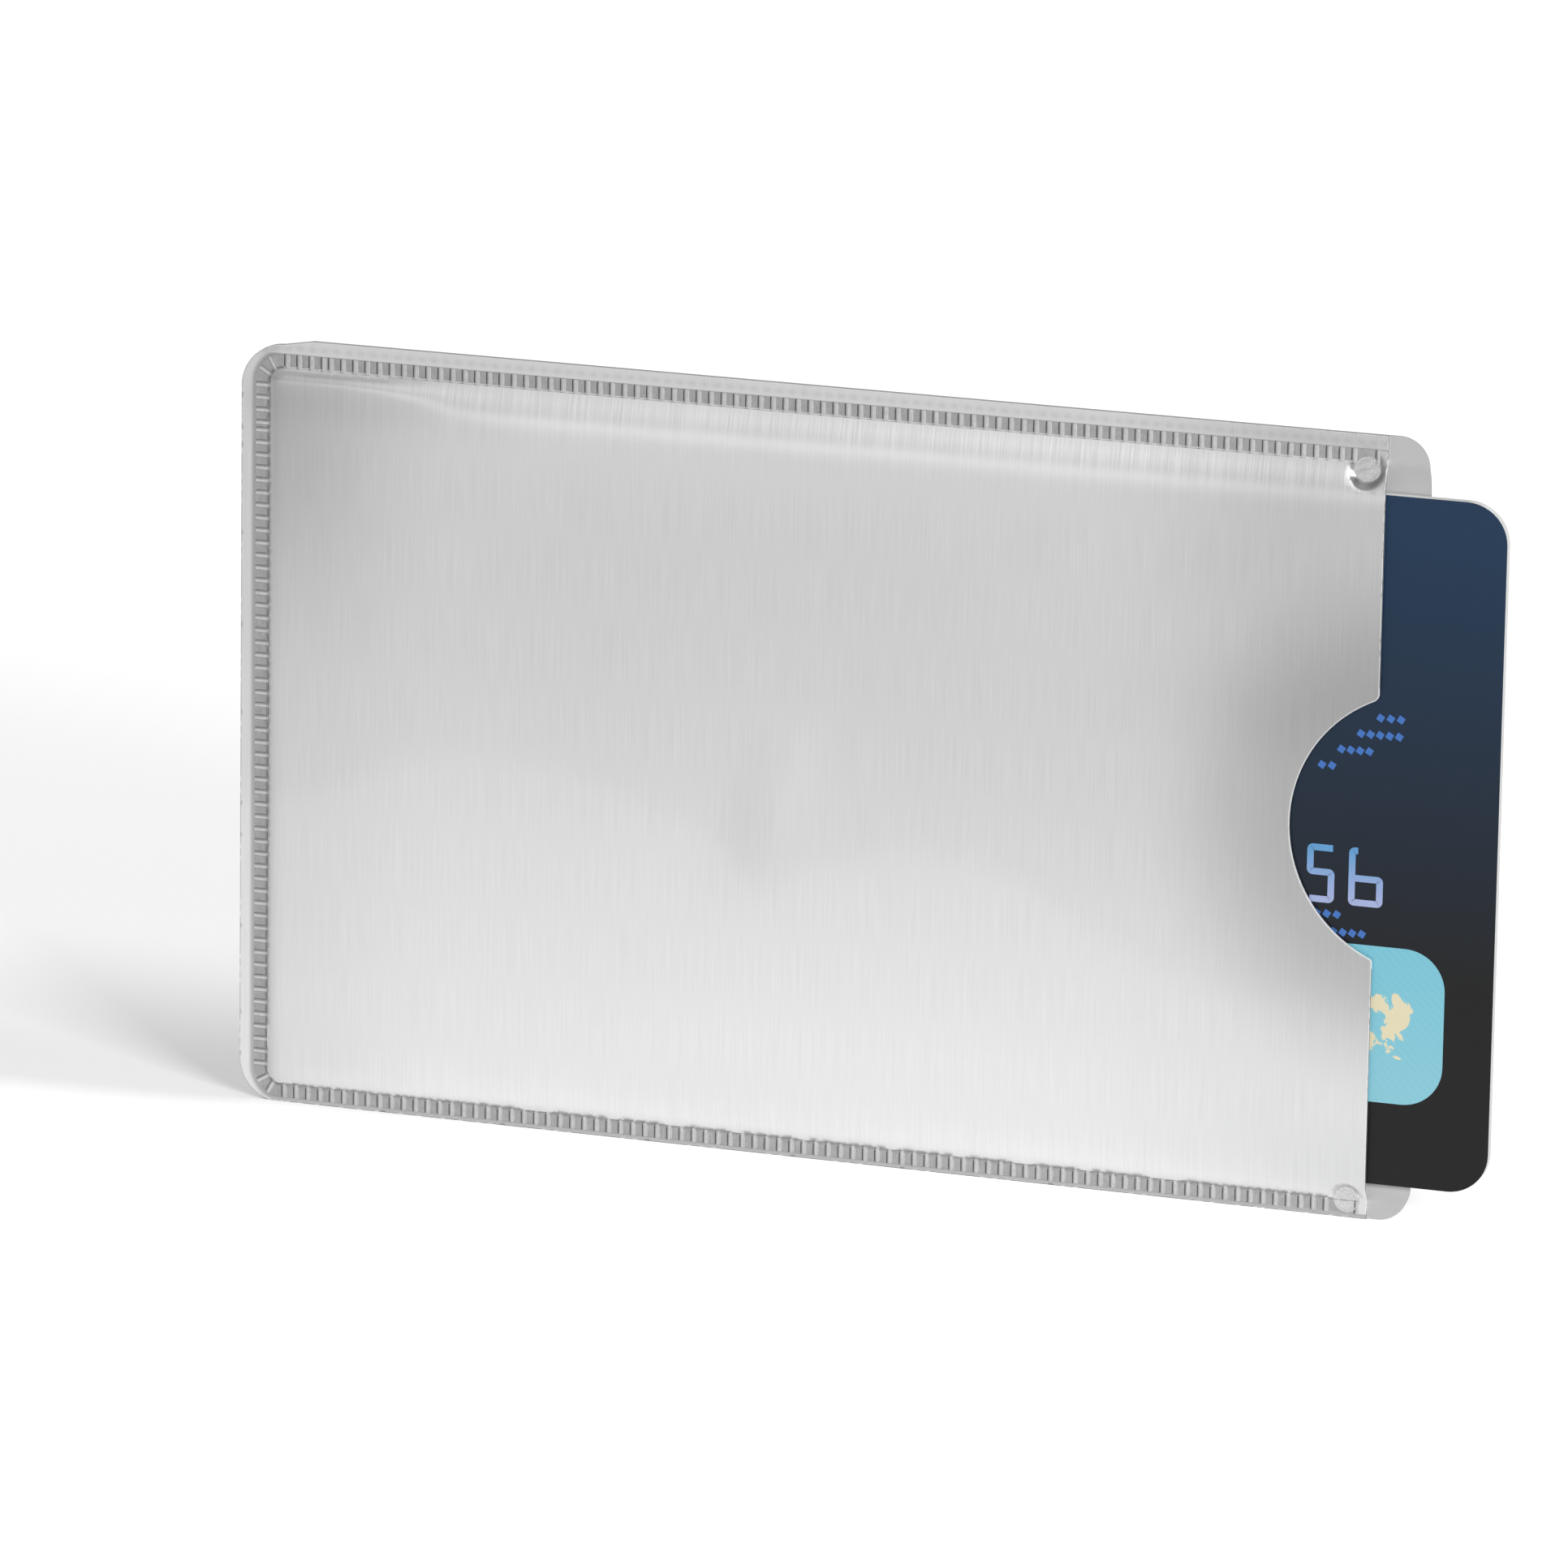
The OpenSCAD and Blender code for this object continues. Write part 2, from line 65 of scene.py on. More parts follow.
FILM_LOW, FILM_HIGH = box_mm("front_film")
CARD_LOW, CARD_HIGH = box_mm("card_front_core")
EMBLEM_LOW, EMBLEM_HIGH = box_mm("emblem_foil")
CLOSED_END_X = FILM_LOW[0]
FRONT_L = FILM_HIGH[0] - CLOSED_END_X
BACK_L = box_mm("back_film")[1][0] - CLOSED_END_X
SLEEVE_H = FILM_HIGH[2]
LAMINATE_REACH = -FILM_LOW[1]
CARD_REAR = CARD_LOW[0] - CLOSED_END_X
CARD_Z0, CARD_Z1 = CARD_LOW[2], CARD_HIGH[2]
CARD_FACE = -box_mm("card_front_sheet")[0][1]

# Sizes that repeat the construction
FILM_T, FOIL_T, LINER_T = 0.11, 0.04, 0.07
LAMINATE_T = FILM_T + FOIL_T + LINER_T
END_FLANGE, LOWER_FLANGE, UPPER_FLANGE = 1.2, 0.33, 1.15
WELD_W, WELD_IN_R, WELD_END_GAP = 1.1, 1.2, 0.65
WELD_X = END_FLANGE + WELD_W
WELD_Z0 = LOWER_FLANGE + WELD_W
WELD_Z1 = SLEEVE_H - UPPER_FLANGE - WELD_W
CORNER_U = WELD_X + WELD_IN_R
CORNER_Z0 = WELD_Z0 + WELD_IN_R
CORNER_Z1 = WELD_Z1 - WELD_IN_R
WELD_END_U = FRONT_L - WELD_END_GAP
GROOVE_DEPTH = 0.072
PRESS_FLOOR = 0.15
RIM_W = 0.1
SPOT_R, SPOT_INSET = 1.03, 1.6
SPOTS = [(FRONT_L - SPOT_INSET, WELD_Z0 + 0.01), (FRONT_L - SPOT_INSET, WELD_Z1 - 0.43)]
NOTCH_R, NOTCH_DEPTH = 11.05, 6.8
NOTCH_CENTRE = (FRONT_L - NOTCH_DEPTH + NOTCH_R, SLEEVE_H / 2 + 0.2)
UPPER_POINT_R, LOWER_POINT_R = 0.65, 0.3
END_CORNER_R, TONGUE_CORNER_R = 3.5, 2.4
UPPER_TRIM_DROP, UPPER_TRIM_L, LOWER_TRIM_CUT = 0.42, 2.4, 0.2
CARD_CORNER_R = 3.18

# Relief of the pillow, as distances of the laminate's inner face from the middle
LEAST_LIFT = 0.41
EMPTY_LIFT = 0.45
CARD_LIFT = 0.62
MOST_LIFT = LAMINATE_REACH - LAMINATE_T - 0.004
END_RISE_W, LOWER_RISE_W, UPPER_RISE_W = 1.3, 1.7, 3.4
SPOT_RISES_W = (0.44, 0.5)
# How far outside the card's edge the rise over it starts, and how wide it is
CARD_RISE_OUT, CARD_RISE_W = 3, 4.5
# Half width of the groove's walls, and the angles from which an edge is sharp
WALL_HALF_W = 0.015
FILM_SHARP, WELD_SHARP = math.radians(35), math.radians(60)


# Outlines


def arc(centre, r, start, end, steps):
    """Points of an arc, in degrees, both ends included."""
    return [
        (centre[0] + r * math.cos(math.radians(a)), centre[1] + r * math.sin(math.radians(a)))
        for a in np.linspace(start, end, steps)
    ]


def closed_end_points():
    """From the upper edge round the closed end to the lower edge."""
    upper = (END_CORNER_R, SLEEVE_H - UPPER_TRIM_DROP - END_CORNER_R)
    lower = (END_CORNER_R, END_CORNER_R - LOWER_TRIM_CUT)
    end = 180 + math.degrees(math.asin(lower[1] / END_CORNER_R))
    return (
        [(END_CORNER_R + UPPER_TRIM_L, SLEEVE_H)]
        + arc(upper, END_CORNER_R, 90, 180, 25)
        + arc(lower, END_CORNER_R, 180, end, 20)
    )


def notch_points():
    """From the lower point of the thumb notch to the upper one."""
    beyond = NOTCH_R - NOTCH_DEPTH
    halves = []
    for r in (LOWER_POINT_R, UPPER_POINT_R):
        rise = math.sqrt((NOTCH_R + r) ** 2 - (beyond + r) ** 2)
        meet = math.degrees(math.atan2(rise, -beyond - r))
        halves.append((r, rise, meet))
    (low_r, low_rise, low_meet), (up_r, up_rise, up_meet) = halves
    u, z = NOTCH_CENTRE
    lower = arc((FRONT_L - low_r, z - low_rise), low_r, 0, 180 - low_meet, 5)
    upper = arc((FRONT_L - up_r, z + up_rise), up_r, up_meet - 180, 0, 7)
    middle = arc((u, z), NOTCH_R, 360 - low_meet, up_meet, 44)
    return lower + middle[1:-1] + upper


def tongue_points():
    """Lower and upper corner of the tongue."""
    r = TONGUE_CORNER_R
    return arc((BACK_L - r, r), r, 270, 360, 25) + arc((BACK_L - r, SLEEVE_H - r), r, 0, 90, 25)


def densified(points, step):
    """A closed outline with no side longer than a step."""
    dense = []
    for (u0, z0), (u1, z1) in zip(points, points[1:] + points[:1]):
        count = max(1, math.ceil(math.hypot(u1 - u0, z1 - z0) / step))
        dense += [(u0 + (u1 - u0) * i / count, z0 + (z1 - z0) * i / count) for i in range(count)]
    return dense


def weld_loop(margin):
    """Outline of the weld band, drawn in by a margin."""
    outer_r, inner_r = WELD_IN_R + WELD_W - margin, WELD_IN_R + margin
    low, high = (CORNER_U, CORNER_Z0), (CORNER_U, CORNER_Z1)
    end = WELD_END_U - margin
    return (
        [(end, LOWER_FLANGE + margin)]
        + arc(low, outer_r, 270, 180, 13)
        + arc(high, outer_r, 180, 90, 13)
        + [(end, WELD_Z1 + WELD_W - margin), (end, WELD_Z1 + margin)]
        + arc(high, inner_r, 90, 180, 13)
        + arc(low, inner_r, 180, 270, 13)
        + [(end, WELD_Z0 - margin)]
    )


# Relief


def smooth(value):
    """Smooth step from 0 to 1."""
    value = np.clip(value, 0, 1)
    return value * value * (3 - 2 * value)


def eased(value):
    """Steep at 0, level at 1."""
    return 1 - (1 - np.clip(value, 0, 1)) ** 3


def inside_round_end(u, z, end, low, high, r):
    """Distance inside a shape that has two round corners at one end and is open at the other."""
    past_u = end + r - u
    past_z = np.abs(z - (low + high) / 2) - ((high - low) / 2 - r)
    outside = np.hypot(np.maximum(past_u, 0), np.maximum(past_z, 0))
    return r - outside - np.minimum(np.maximum(past_u, past_z), 0)


def inside_weld(u, z):
    """Distance from the inner edge of the weld, towards the pocket."""
    return inside_round_end(u, z, WELD_X, WELD_Z0, WELD_Z1, WELD_IN_R)


def band(value, middle, width):
    """1 at the middle, falling off smoothly to both sides."""
    return np.exp(-(((value - middle) / width) ** 2))


def bump(u, z, centre, size, turn):
    """Round hill of height 1, longer one way than the other, turned by an angle in degrees."""
    c, s = math.cos(math.radians(turn)), math.sin(math.radians(turn))
    du, dz = u - centre[0], z - centre[1]
    return np.exp(-(((du * c + dz * s) / size[0]) ** 2) - ((dz * c - du * s) / size[1]) ** 2)


# Slack of the laminates as hills and dents: height, centre, size and turn.
# The front one has a dent right of the middle and two wide arches.
FRONT_WAVES = [
    (-0.10, (44.5, 28), (3.2, 8), 12),
    (-0.05, (50, 44), (5, 12), -25),
    (0.045, (26, 18), (17, 13), 0),
    (0.04, (62, 14), (15, 10), 0),
    (0.03, (86, 12), (7, 9), 0),
    (-0.05, (84, 19), (4, 9), 20),
]
BACK_WAVES = [
    (-0.05, (58, 33), (12, 10), 20),
    (0.04, (30, 24), (16, 13), 0),
    (0.03, (76, 16), (14, 9), 0),
]


def lift(u, z, waves):
    """Distance of a laminate's inner face from the middle of the sleeve."""
    inside_card = inside_round_end(u, z, CARD_REAR, CARD_Z0, CARD_Z1, CARD_CORNER_R)
    over_card = smooth((inside_card + CARD_RISE_OUT) / CARD_RISE_W)
    panel = EMPTY_LIFT + (CARD_LIFT - EMPTY_LIFT) * over_card
    slack = sum(height * bump(u, z, centre, size, turn) for height, centre, size, turn in waves)
    panel = panel + slack * smooth(inside_weld(u, z) / 6)
    panel = np.clip(panel, LEAST_LIFT, MOST_LIFT)
    upper = smooth((z - WELD_Z1 + 2 * UPPER_RISE_W) / UPPER_RISE_W) * smooth((u - 8) / 14)
    lower = smooth((WELD_Z0 + 2 * UPPER_RISE_W - z) / UPPER_RISE_W)
    rise_w = END_RISE_W + (UPPER_RISE_W - END_RISE_W) * upper + (LOWER_RISE_W - END_RISE_W) * lower
    raised = panel * eased(inside_weld(u, z) / rise_w)
    for (spot_u, spot_z), spot_rise_w in zip(SPOTS, SPOT_RISES_W):
        raised = raised * smooth((np.hypot(u - spot_u, z - spot_z) - SPOT_R - 0.01) / spot_rise_w)
    return raised


def groove(u, z):
    """1 where the weld is pressed into the outer film, 0 beside it."""
    from_weld = inside_weld(u, z)
    inside = np.minimum(np.minimum(from_weld + WELD_W, -from_weld), WELD_END_U - u)
    for spot_u, spot_z in SPOTS:
        inside = np.maximum(inside, SPOT_R - np.hypot(u - spot_u, z - spot_z))
    return np.clip((inside + WALL_HALF_W) / (2 * WALL_HALF_W), 0, 1)


def painted_film_shading(u, z):
    """Painted shade and highlight on the front film: darker round the notch, along the mouth and in the
    upper rear corner.
    """
    # Painted shade round the thumb notch, along the upper mouth and in the upper rear corner
    from_notch = np.hypot(u - NOTCH_CENTRE[0], z - NOTCH_CENTRE[1]) - NOTCH_R
    round_notch = 0.72 + 0.28 * smooth(from_notch / 12.5)
    at_mouth = 1 - (0.05 + 0.11 * smooth((z - 33) / 8)) * smooth((u - 68) / 20)
    rear = (1 - smooth((u - 1) / 17)) * smooth(inside_weld(u, z) / 0.5)
    at_rear = 1 - rear * (0.08 + 0.22 * smooth((z - 34) / 22))
    # Painted reflection: a little lighter below a line of arches
    arches = 22 + 8 * band(u, 22, 18) + 3.5 * band(u, 58, 9) - 5 * smooth((u - 62) / 20)
    arches = arches - 3 * band(u, 43.5, 2.5)
    painted_light_below_arches = 1 + 0.035 * smooth((arches - z) / 3.5 + 0.5)
    # Painted shade and highlight on the two sides of the crease
    painted_crease_shading = 1 - 0.05 * bump(u, z, (42.0, 26.5), (2.2, 5.5), -12)
    painted_crease_shading = painted_crease_shading + 0.03 * bump(u, z, (46.5, 31), (2.0, 6.5), -14)
    # Painted shadow along the inside of the closed end's weld
    painted_weld_shadow = 1 - 0.15 * band(u, WELD_X, 0.9)
    # Painted highlight along the crest below the upper weld, and painted shade on the crest near the closed
    # end
    along_crest = smooth((u - 15) / 10) * (1 - smooth((u - 45) / 40))
    painted_crest_shading = 1 + 0.03 * band(z, 55.5, 3.2) * along_crest
    painted_crest_shading = painted_crest_shading * (1 - 0.07 * band(z, 56.5, 1.6) * (1 - smooth((u - 16) / 10)))
    # Painted shade in a ring round the upper round weld, dimming the highlight there
    from_spot = np.hypot(u - SPOTS[1][0], z - SPOTS[1][1]) - SPOT_R
    painted_spot_shade = 1 - 0.62 * band(from_spot, 0.22, 0.28)
    # Slightly darker towards the lower edge
    foot = 1 - 0.05 * smooth((10 - z) / 8)
    return round_notch * at_mouth * at_rear * painted_light_below_arches * painted_crease_shading * painted_weld_shadow * painted_crest_shading * foot * painted_spot_shade


def painted_lip_shadow(u, z):
    """Back film: a painted shadow of the front film's lip, a little darker just past the mouth."""
    return 1 - 0.2 * smooth((FRONT_L + 1.8 - u) / 2.2) * smooth((u - FRONT_L + 3) / 2)


# Laminates: one triangulation for each outline, shared by its three layers


def graded(stops, end):
    """Places from the first stop to the end. Each stop is a place and the step after it."""
    places = []
    for (start, step), (stop, _) in zip(stops, stops[1:] + [(end, 0)]):
        count = max(1, round((stop - start) / step))
        places += [start + (stop - start) * i / count for i in range(count)]
    return places + [end]


def clear_of(points, lines, room):
    """The points that keep their distance from the corners of all lines."""
    corners = np.array([p for line in lines for p in line])
    kept = []
    for chunk in np.array_split(points, max(1, len(points) // 500)):
        gaps = np.hypot(
            chunk[:, None, 0] - corners[None, :, 0], chunk[:, None, 1] - corners[None, :, 1]
        )
        kept.append(chunk[gaps.min(axis=1) > room])
    return np.concatenate(kept)


def triangulate(outline, reach):
    """Points and triangles of a laminate's flat outline, with lines along the welds."""
    us = graded([(0, 0.26), (4.4, 0.7), (20, 1.1), (80, 0.7)], reach)
    zs = graded([(0, 0.26), (4.2, 0.9), (52, 0.3)], SLEEVE_H)
    grid = np.array([(u, z) for u in us for z in zs])
    rings = [
        arc(spot, SPOT_R + gap, 0, 348.75, 32)
        for spot in SPOTS
        for gap in (-WALL_HALF_W, WALL_HALF_W, 0.18, 0.36, 0.6)
    ]
    loops = [densified(weld_loop(margin), 0.5) for margin in (-WALL_HALF_W, WALL_HALF_W)]
    edge = densified(outline, 0.5)
    rim = drawn_in(edge, RIM_W)
    grid = clear_of(grid, [edge, rim] + loops + rings, 0.14)
    points, edges = list(edge) + rim, []
    for loop in loops + rings:
        inside = all(0 <= p[1] <= SLEEVE_H and p[0] <= reach for p in loop)
        first = len(points)
        points += loop
        if inside:
            edges += [(first + i, first + (i + 1) % len(loop)) for i in range(len(loop))]
    points += [tuple(p) for p in grid]
    places, _, triangles, _, _, _ = delaunay_2d_cdt(
        [Vector(p) for p in points], edges, [list(range(len(edge)))], 1, 1e-5
    )
    places = np.array([tuple(p) for p in places])
    triangles = turned_alike(places, np.array([tuple(t) for t in triangles]))
    used = np.unique(triangles)
    new_number = np.zeros(len(places), dtype=int)
    new_number[used] = np.arange(len(used))
    return places[used], new_number[triangles], edge


def drawn_in(outline, distance):
    """The points of an outline moved to its inner side."""
    at = np.array(outline)
    along = np.roll(at, -1, axis=0) - np.roll(at, 1, axis=0)
    along = along / np.linalg.norm(along, axis=1)[:, None]
    return [tuple(p) for p in at + distance * np.stack([-along[:, 1], along[:, 0]], axis=1)]


def near_outline(places, outline):
    """1 on the outline, 0 at the width of the rim and beyond it."""
    corners = np.array(outline)
    gaps = [np.hypot(*(chunk[:, None] - corners[None]).transpose(2, 0, 1)).min(axis=1)
            for chunk in np.array_split(places, len(places) // 500 + 1)]
    return np.clip(1 - np.concatenate(gaps) / RIM_W, 0, 1)


def turned_alike(places, triangles):
    """The triangles that have an area, all turned the same way."""
    a, b, c = (places[triangles[:, i]] for i in range(3))
    area = (b[:, 0] - a[:, 0]) * (c[:, 1] - a[:, 1]) - (b[:, 1] - a[:, 1]) * (c[:, 0] - a[:, 0])
    triangles = triangles[np.abs(area) > 1e-9]
    area = area[np.abs(area) > 1e-9]
    triangles[area < 0] = triangles[area < 0][:, ::-1]
    return triangles


def scene_object(name, data):
    """Object that holds the data, linked into the scene."""
    made = bpy.data.objects.new(name, data)
    bpy.context.scene.collection.objects.link(made)
    return made


def add_values(mesh, values):
    """Stores values on the points of a mesh whose second half of points lies under the first."""
    for key, value in values.items():
        attribute = mesh.attributes.new(key, "FLOAT", "POINT")
        attribute.data.foreach_set("value", np.tile(value.ravel(), 2).astype(np.float32))


def layer_object(name, flat, side, inner, outer, values):
    """Closed shell of one layer, between the depths of its inner and its outer face."""
    places, triangles, _ = flat
    count = len(places)
    x = places[:, 0] + CLOSED_END_X
    corners = np.concatenate([
        np.stack([x, side * outer, places[:, 1]], axis=1),
        np.stack([x, side * inner, places[:, 1]], axis=1),
    ])
    edges = {}
    for t in triangles:
        for a, b in ((t[0], t[1]), (t[1], t[2]), (t[2], t[0])):
            edges[(a, b)] = True
    rim = [(a, b) for a, b in edges if (b, a) not in edges]
    faces = [tuple(t) for t in triangles]
    faces += [tuple(count + i for i in t[::-1]) for t in triangles]
    faces += [(b, a, count + a, count + b) for a, b in rim]
    if side == BACK:
        faces = [face[::-1] for face in faces]
    mesh = bpy.data.meshes.new(name)
    mesh.from_pydata((corners * MM).tolist(), [], [tuple(int(i) for i in f) for f in faces])
    mesh.shade_smooth()
    mesh.set_sharp_from_angle(angle=FILM_SHARP)
    along = mesh.uv_layers.new(name="along")
    at = corners[[loop.vertex_index for loop in mesh.loops]][:, [0, 2]] / 100
    along.data.foreach_set("uv", at.astype(np.float32).ravel())
    add_values(mesh, values)
    return scene_object(name, mesh)


def laminate(side, flat, waves, tone):
    """Liner, foil and outer film of one laminate."""
    word = "front" if side == FRONT else "back"
    u, z = flat[0][:, 0], flat[0][:, 1]
    height = lift(u, z, waves)
    pressed = GROOVE_DEPTH * groove(u, z) if side == FRONT else 0
    depths = [height, height + LINER_T, height + LINER_T + FOIL_T, height + LAMINATE_T - pressed]
    values = {
        # Painted shade and highlight on the film's face, read by its material
        "tone": tone(u, z),
        "beyond_weld": -inside_weld(u, z) - WELD_W,
        "rim": near_outline(flat[0], flat[2]),
        "at_mouth": smooth((u - FRONT_L + 8) / 0.5) * (u < FRONT_L + 0.1) * smooth(z / 0.3)
        * smooth((SLEEVE_H - z) / 0.3),
    }
    pieces = {}
    for i, layer in enumerate(("seal_liner", "shield_foil", "film")):
        node = f"{word}_{layer}"
        pieces[node] = layer_object(node + "_formed", flat, side, depths[i], depths[i + 1], values)
    return pieces


# Welds: pressed strips with a bead along the pocket, and two round welds at the mouth

RIB_HALF_W, RIB_PITCH, FIRST_RIB, LAST_CELL, MOUTH_RIB = 0.24, 1.003, 0.25, 1.7, 0.12
RIBS_BEFORE_SHORT, SHORT_CELL, CORNER_CELLS = 4, 0.6, 3
FLOOR_OVER, RIB_OVER, BEAD_OVER, LIP_OVER = 0.03, 0.085, 0.12, 0.05
ACROSS = np.array([0, 0.05, 0.1, 0.2, 0.4, 0.6, 0.78, 0.88, 0.94, 1.0, 1.06, 1.1])
STRIP_STEP = 0.17
STRAIGHT_L = WELD_END_U - CORNER_U
MIDDLE_R = WELD_IN_R + WELD_W / 2
BEND_L, END_L = math.pi / 2 * MIDDLE_R, CORNER_Z1 - CORNER_Z0


def upper_run(at):
    """Outer and inner points of the upper weld, at distances from the closed end's corner."""
    return [np.stack([CORNER_U + at, np.full_like(at, z)], axis=1) for z in (WELD_Z1 + WELD_W, WELD_Z1)]


def lower_run(at):
    """Outer and inner points of the lower weld."""
    return [np.stack([CORNER_U + at, np.full_like(at, z)], axis=1) for z in (LOWER_FLANGE, WELD_Z0)]


def end_run(at):
    """Outer and inner points of the closed end's weld: upper corner, end, lower corner."""
    turn = math.pi / 2 + (np.clip(at, 0, BEND_L) + np.clip(at - BEND_L - END_L, 0, BEND_L)) / MIDDLE_R
    ray = np.stack([np.cos(turn), np.sin(turn)], axis=1)
    centre = np.stack([np.full_like(at, CORNER_U), CORNER_Z1 - np.clip(at - BEND_L, 0, END_L)], axis=1)
    return [centre + ray * (WELD_IN_R + WELD_W), centre + ray * WELD_IN_R]


def rib_places(start, end, short_cell):
    """Ribs at an even pitch, with one short cell after the first few."""
    first = [start + i * RIB_PITCH for i in range(RIBS_BEFORE_SHORT)]
    return first + list(np.arange(first[-1] + short_cell, end, RIB_PITCH))


def rib_lines():
    """One line across the weld for each rib, with the rib's side in painted shade always on the same hand.
    """
    wedges = [BEND_L * i / CORNER_CELLS for i in range(1, CORNER_CELLS)]
    end_ribs = wedges + rib_places(BEND_L + FIRST_RIB, BEND_L + END_L - 0.1, SHORT_CELL)
    end_ribs += [BEND_L + END_L + w for w in wedges]
    last = STRAIGHT_L - LAST_CELL
    upper = upper_run(np.array(rib_places(FIRST_RIB, last, SHORT_CELL) + [STRAIGHT_L - MOUTH_RIB]))
    lower = lower_run(np.array(rib_places(FIRST_RIB, last, RIB_PITCH) + [STRAIGHT_L - MOUTH_RIB]))
    lines = []
    for first, second in (upper, lower[::-1], end_run(np.array(end_ribs))[::-1]):
        lines += [[tuple(a), tuple(b)] for a, b in zip(first, second)]
    return lines


def strip_object(name, run, length, painted_bead_shading):
    """Closed strip of a weld, with a bead along the pocket and a low lip along its outer edge."""
    at = np.linspace(0, length, round(length / STRIP_STEP) + 1)
    outer, inner = run(at)
    bead = band(ACROSS, WELD_W - 0.09, 0.055)[None]
    lip = band(ACROSS, 0.06, 0.05)[None]
    swell = 0.75 + 0.25 * np.cos(2 * math.pi * (at - FIRST_RIB - RIB_PITCH / 2) / RIB_PITCH)[:, None]
    heights = FLOOR_OVER + (BEAD_OVER - FLOOR_OVER) * bead * swell
    heights = np.maximum(heights, FLOOR_OVER + (LIP_OVER - FLOOR_OVER) * lip)
    rows, columns = heights.shape
    share = (ACROSS / WELD_W)[None, :, None]
    flat = outer[:, None, :] * (1 - share) + inner[:, None, :] * share
    corners = [
        np.stack([flat[:, :, 0] + CLOSED_END_X, -depth, flat[:, :, 1]], axis=2).reshape(-1, 3)
        for depth in (PRESS_FLOOR + heights, np.full_like(heights, PRESS_FLOOR))
    ]
    count = rows * columns
    cell = [(i * columns + j, i * columns + j + 1, (i + 1) * columns + j + 1, (i + 1) * columns + j)
            for i in range(rows - 1) for j in range(columns - 1)]
    rim = [i * columns for i in range(rows)] + [(rows - 1) * columns + j for j in range(1, columns)]
    rim += [i * columns + columns - 1 for i in range(rows - 2, -1, -1)] + list(range(columns - 2, 0, -1))
    faces = cell + [tuple(count + k for k in c[::-1]) for c in cell]
    faces += [(a, b, count + b, count + a) for a, b in zip(rim, rim[1:] + rim[:1])]
    piece = closed_object(name, np.concatenate(corners), faces)
    # Line along the pocket, and the painted highlight or shadow tone it carries
    inner_line = band(ACROSS, WELD_W - 0.05, 0.07)[None] * np.ones((rows, 1))
    add_values(piece.data, {"inner_line": inner_line, "painted_bead_shading": np.full_like(heights, painted_bead_shading)})
    return piece


def closed_object(name, corners, faces):
    """Smooth closed mesh with its faces turned outwards."""
    mesh = bpy.data.meshes.new(name)
    mesh.from_pydata((corners * MM).tolist(), [], faces)
    work = bmesh.new()
    work.from_mesh(mesh)
    bmesh.ops.recalc_face_normals(work, faces=work.faces)
    work.to_mesh(mesh)
    work.free()
    mesh.shade_smooth()
    mesh.set_sharp_from_angle(angle=WELD_SHARP)
    return scene_object(name, mesh)


def round_weld(name, spot, dome, wrinkle, seed):
    """Round weld: a low rim round a face that is domed and wrinkled."""
    radii = np.array([0.08, 0.2, 0.33, 0.46, 0.58, 0.7, 0.8, 0.88, 0.95, SPOT_R])
    turns = np.radians(np.arange(0, 360, 7.5))
    r, a = np.meshgrid(radii, turns, indexing="ij")
    draw = np.random.default_rng(seed)
    rough = np.zeros_like(r)
    for size in (3.2, 5.1, 8.3, 12.7):
        du, dz, phase = draw.normal(size=3)
        rough += np.sin(size * (du * r * np.cos(a) + dz * r * np.sin(a)) + 3 * phase) / size
    height = FLOOR_OVER + 0.02 + dome * (1 - (r / SPOT_R) ** 2) + wrinkle * rough
    height = np.maximum(height, FLOOR_OVER + 0.06 * band(r, 0.93, 0.06))
    u, z = spot[0] + r * np.cos(a), spot[1] + r * np.sin(a)
    top = np.stack([u + CLOSED_END_X, -(PRESS_FLOOR + height), z], axis=2).reshape(-1, 3)
    n = len(turns)
    foot = top[-n:].copy()
    foot[:, 1] = -PRESS_FLOOR
    faces = [(i * n + j, i * n + (j + 1) % n, (i + 1) * n + (j + 1) % n, (i + 1) * n + j)
             for i in range(len(radii)) for j in range(n)]
    faces += [tuple(range(n)), tuple(range(len(radii) * n, (len(radii) + 1) * n))]
    return closed_object(name, np.concatenate([top, foot]), faces)


# Ribs and print, made by Geometry Nodes from thin lines


def place(tree, kind, inputs=None, **settings):
    """Adds a node, sets its settings, and links or sets its inputs by name or number."""
    node = tree.nodes.new(kind)
    for name, value in settings.items():
        setattr(node, name, value)
    for name, value in (inputs or {}).items():
        if isinstance(value, bpy.types.NodeSocket):
            tree.links.new(value, node.inputs[name])
        else:
            node.inputs[name].default_value = value
    return node


def calc(tree, operation, *values):
    """Result of a sum on sockets and numbers."""
    return place(tree, "ShaderNodeMath", dict(enumerate(values)), operation=operation).outputs[0]


def split(tree, vector):
    """The x, y and z of a vector."""
    return place(tree, "ShaderNodeSeparateXYZ", {0: vector}).outputs


def new_tree(name, sizes):
    """Geometry node tree with named sizes: the tree, its inputs, and the lines it is given as curves."""
    tree = bpy.data.node_groups.new(name, "GeometryNodeTree")
    tree.interface.new_socket("Geometry", in_out="INPUT", socket_type="NodeSocketGeometry")
    for size, value in sizes.items():
        socket = tree.interface.new_socket(size, in_out="INPUT", socket_type="NodeSocketFloat")
        socket.default_value = value
    tree.interface.new_socket("Geometry", in_out="OUTPUT", socket_type="NodeSocketGeometry")
    given = place(tree, "NodeGroupInput").outputs
    return tree, given, place(tree, "GeometryNodeMeshToCurve", {0: given["Geometry"]}).outputs[0]


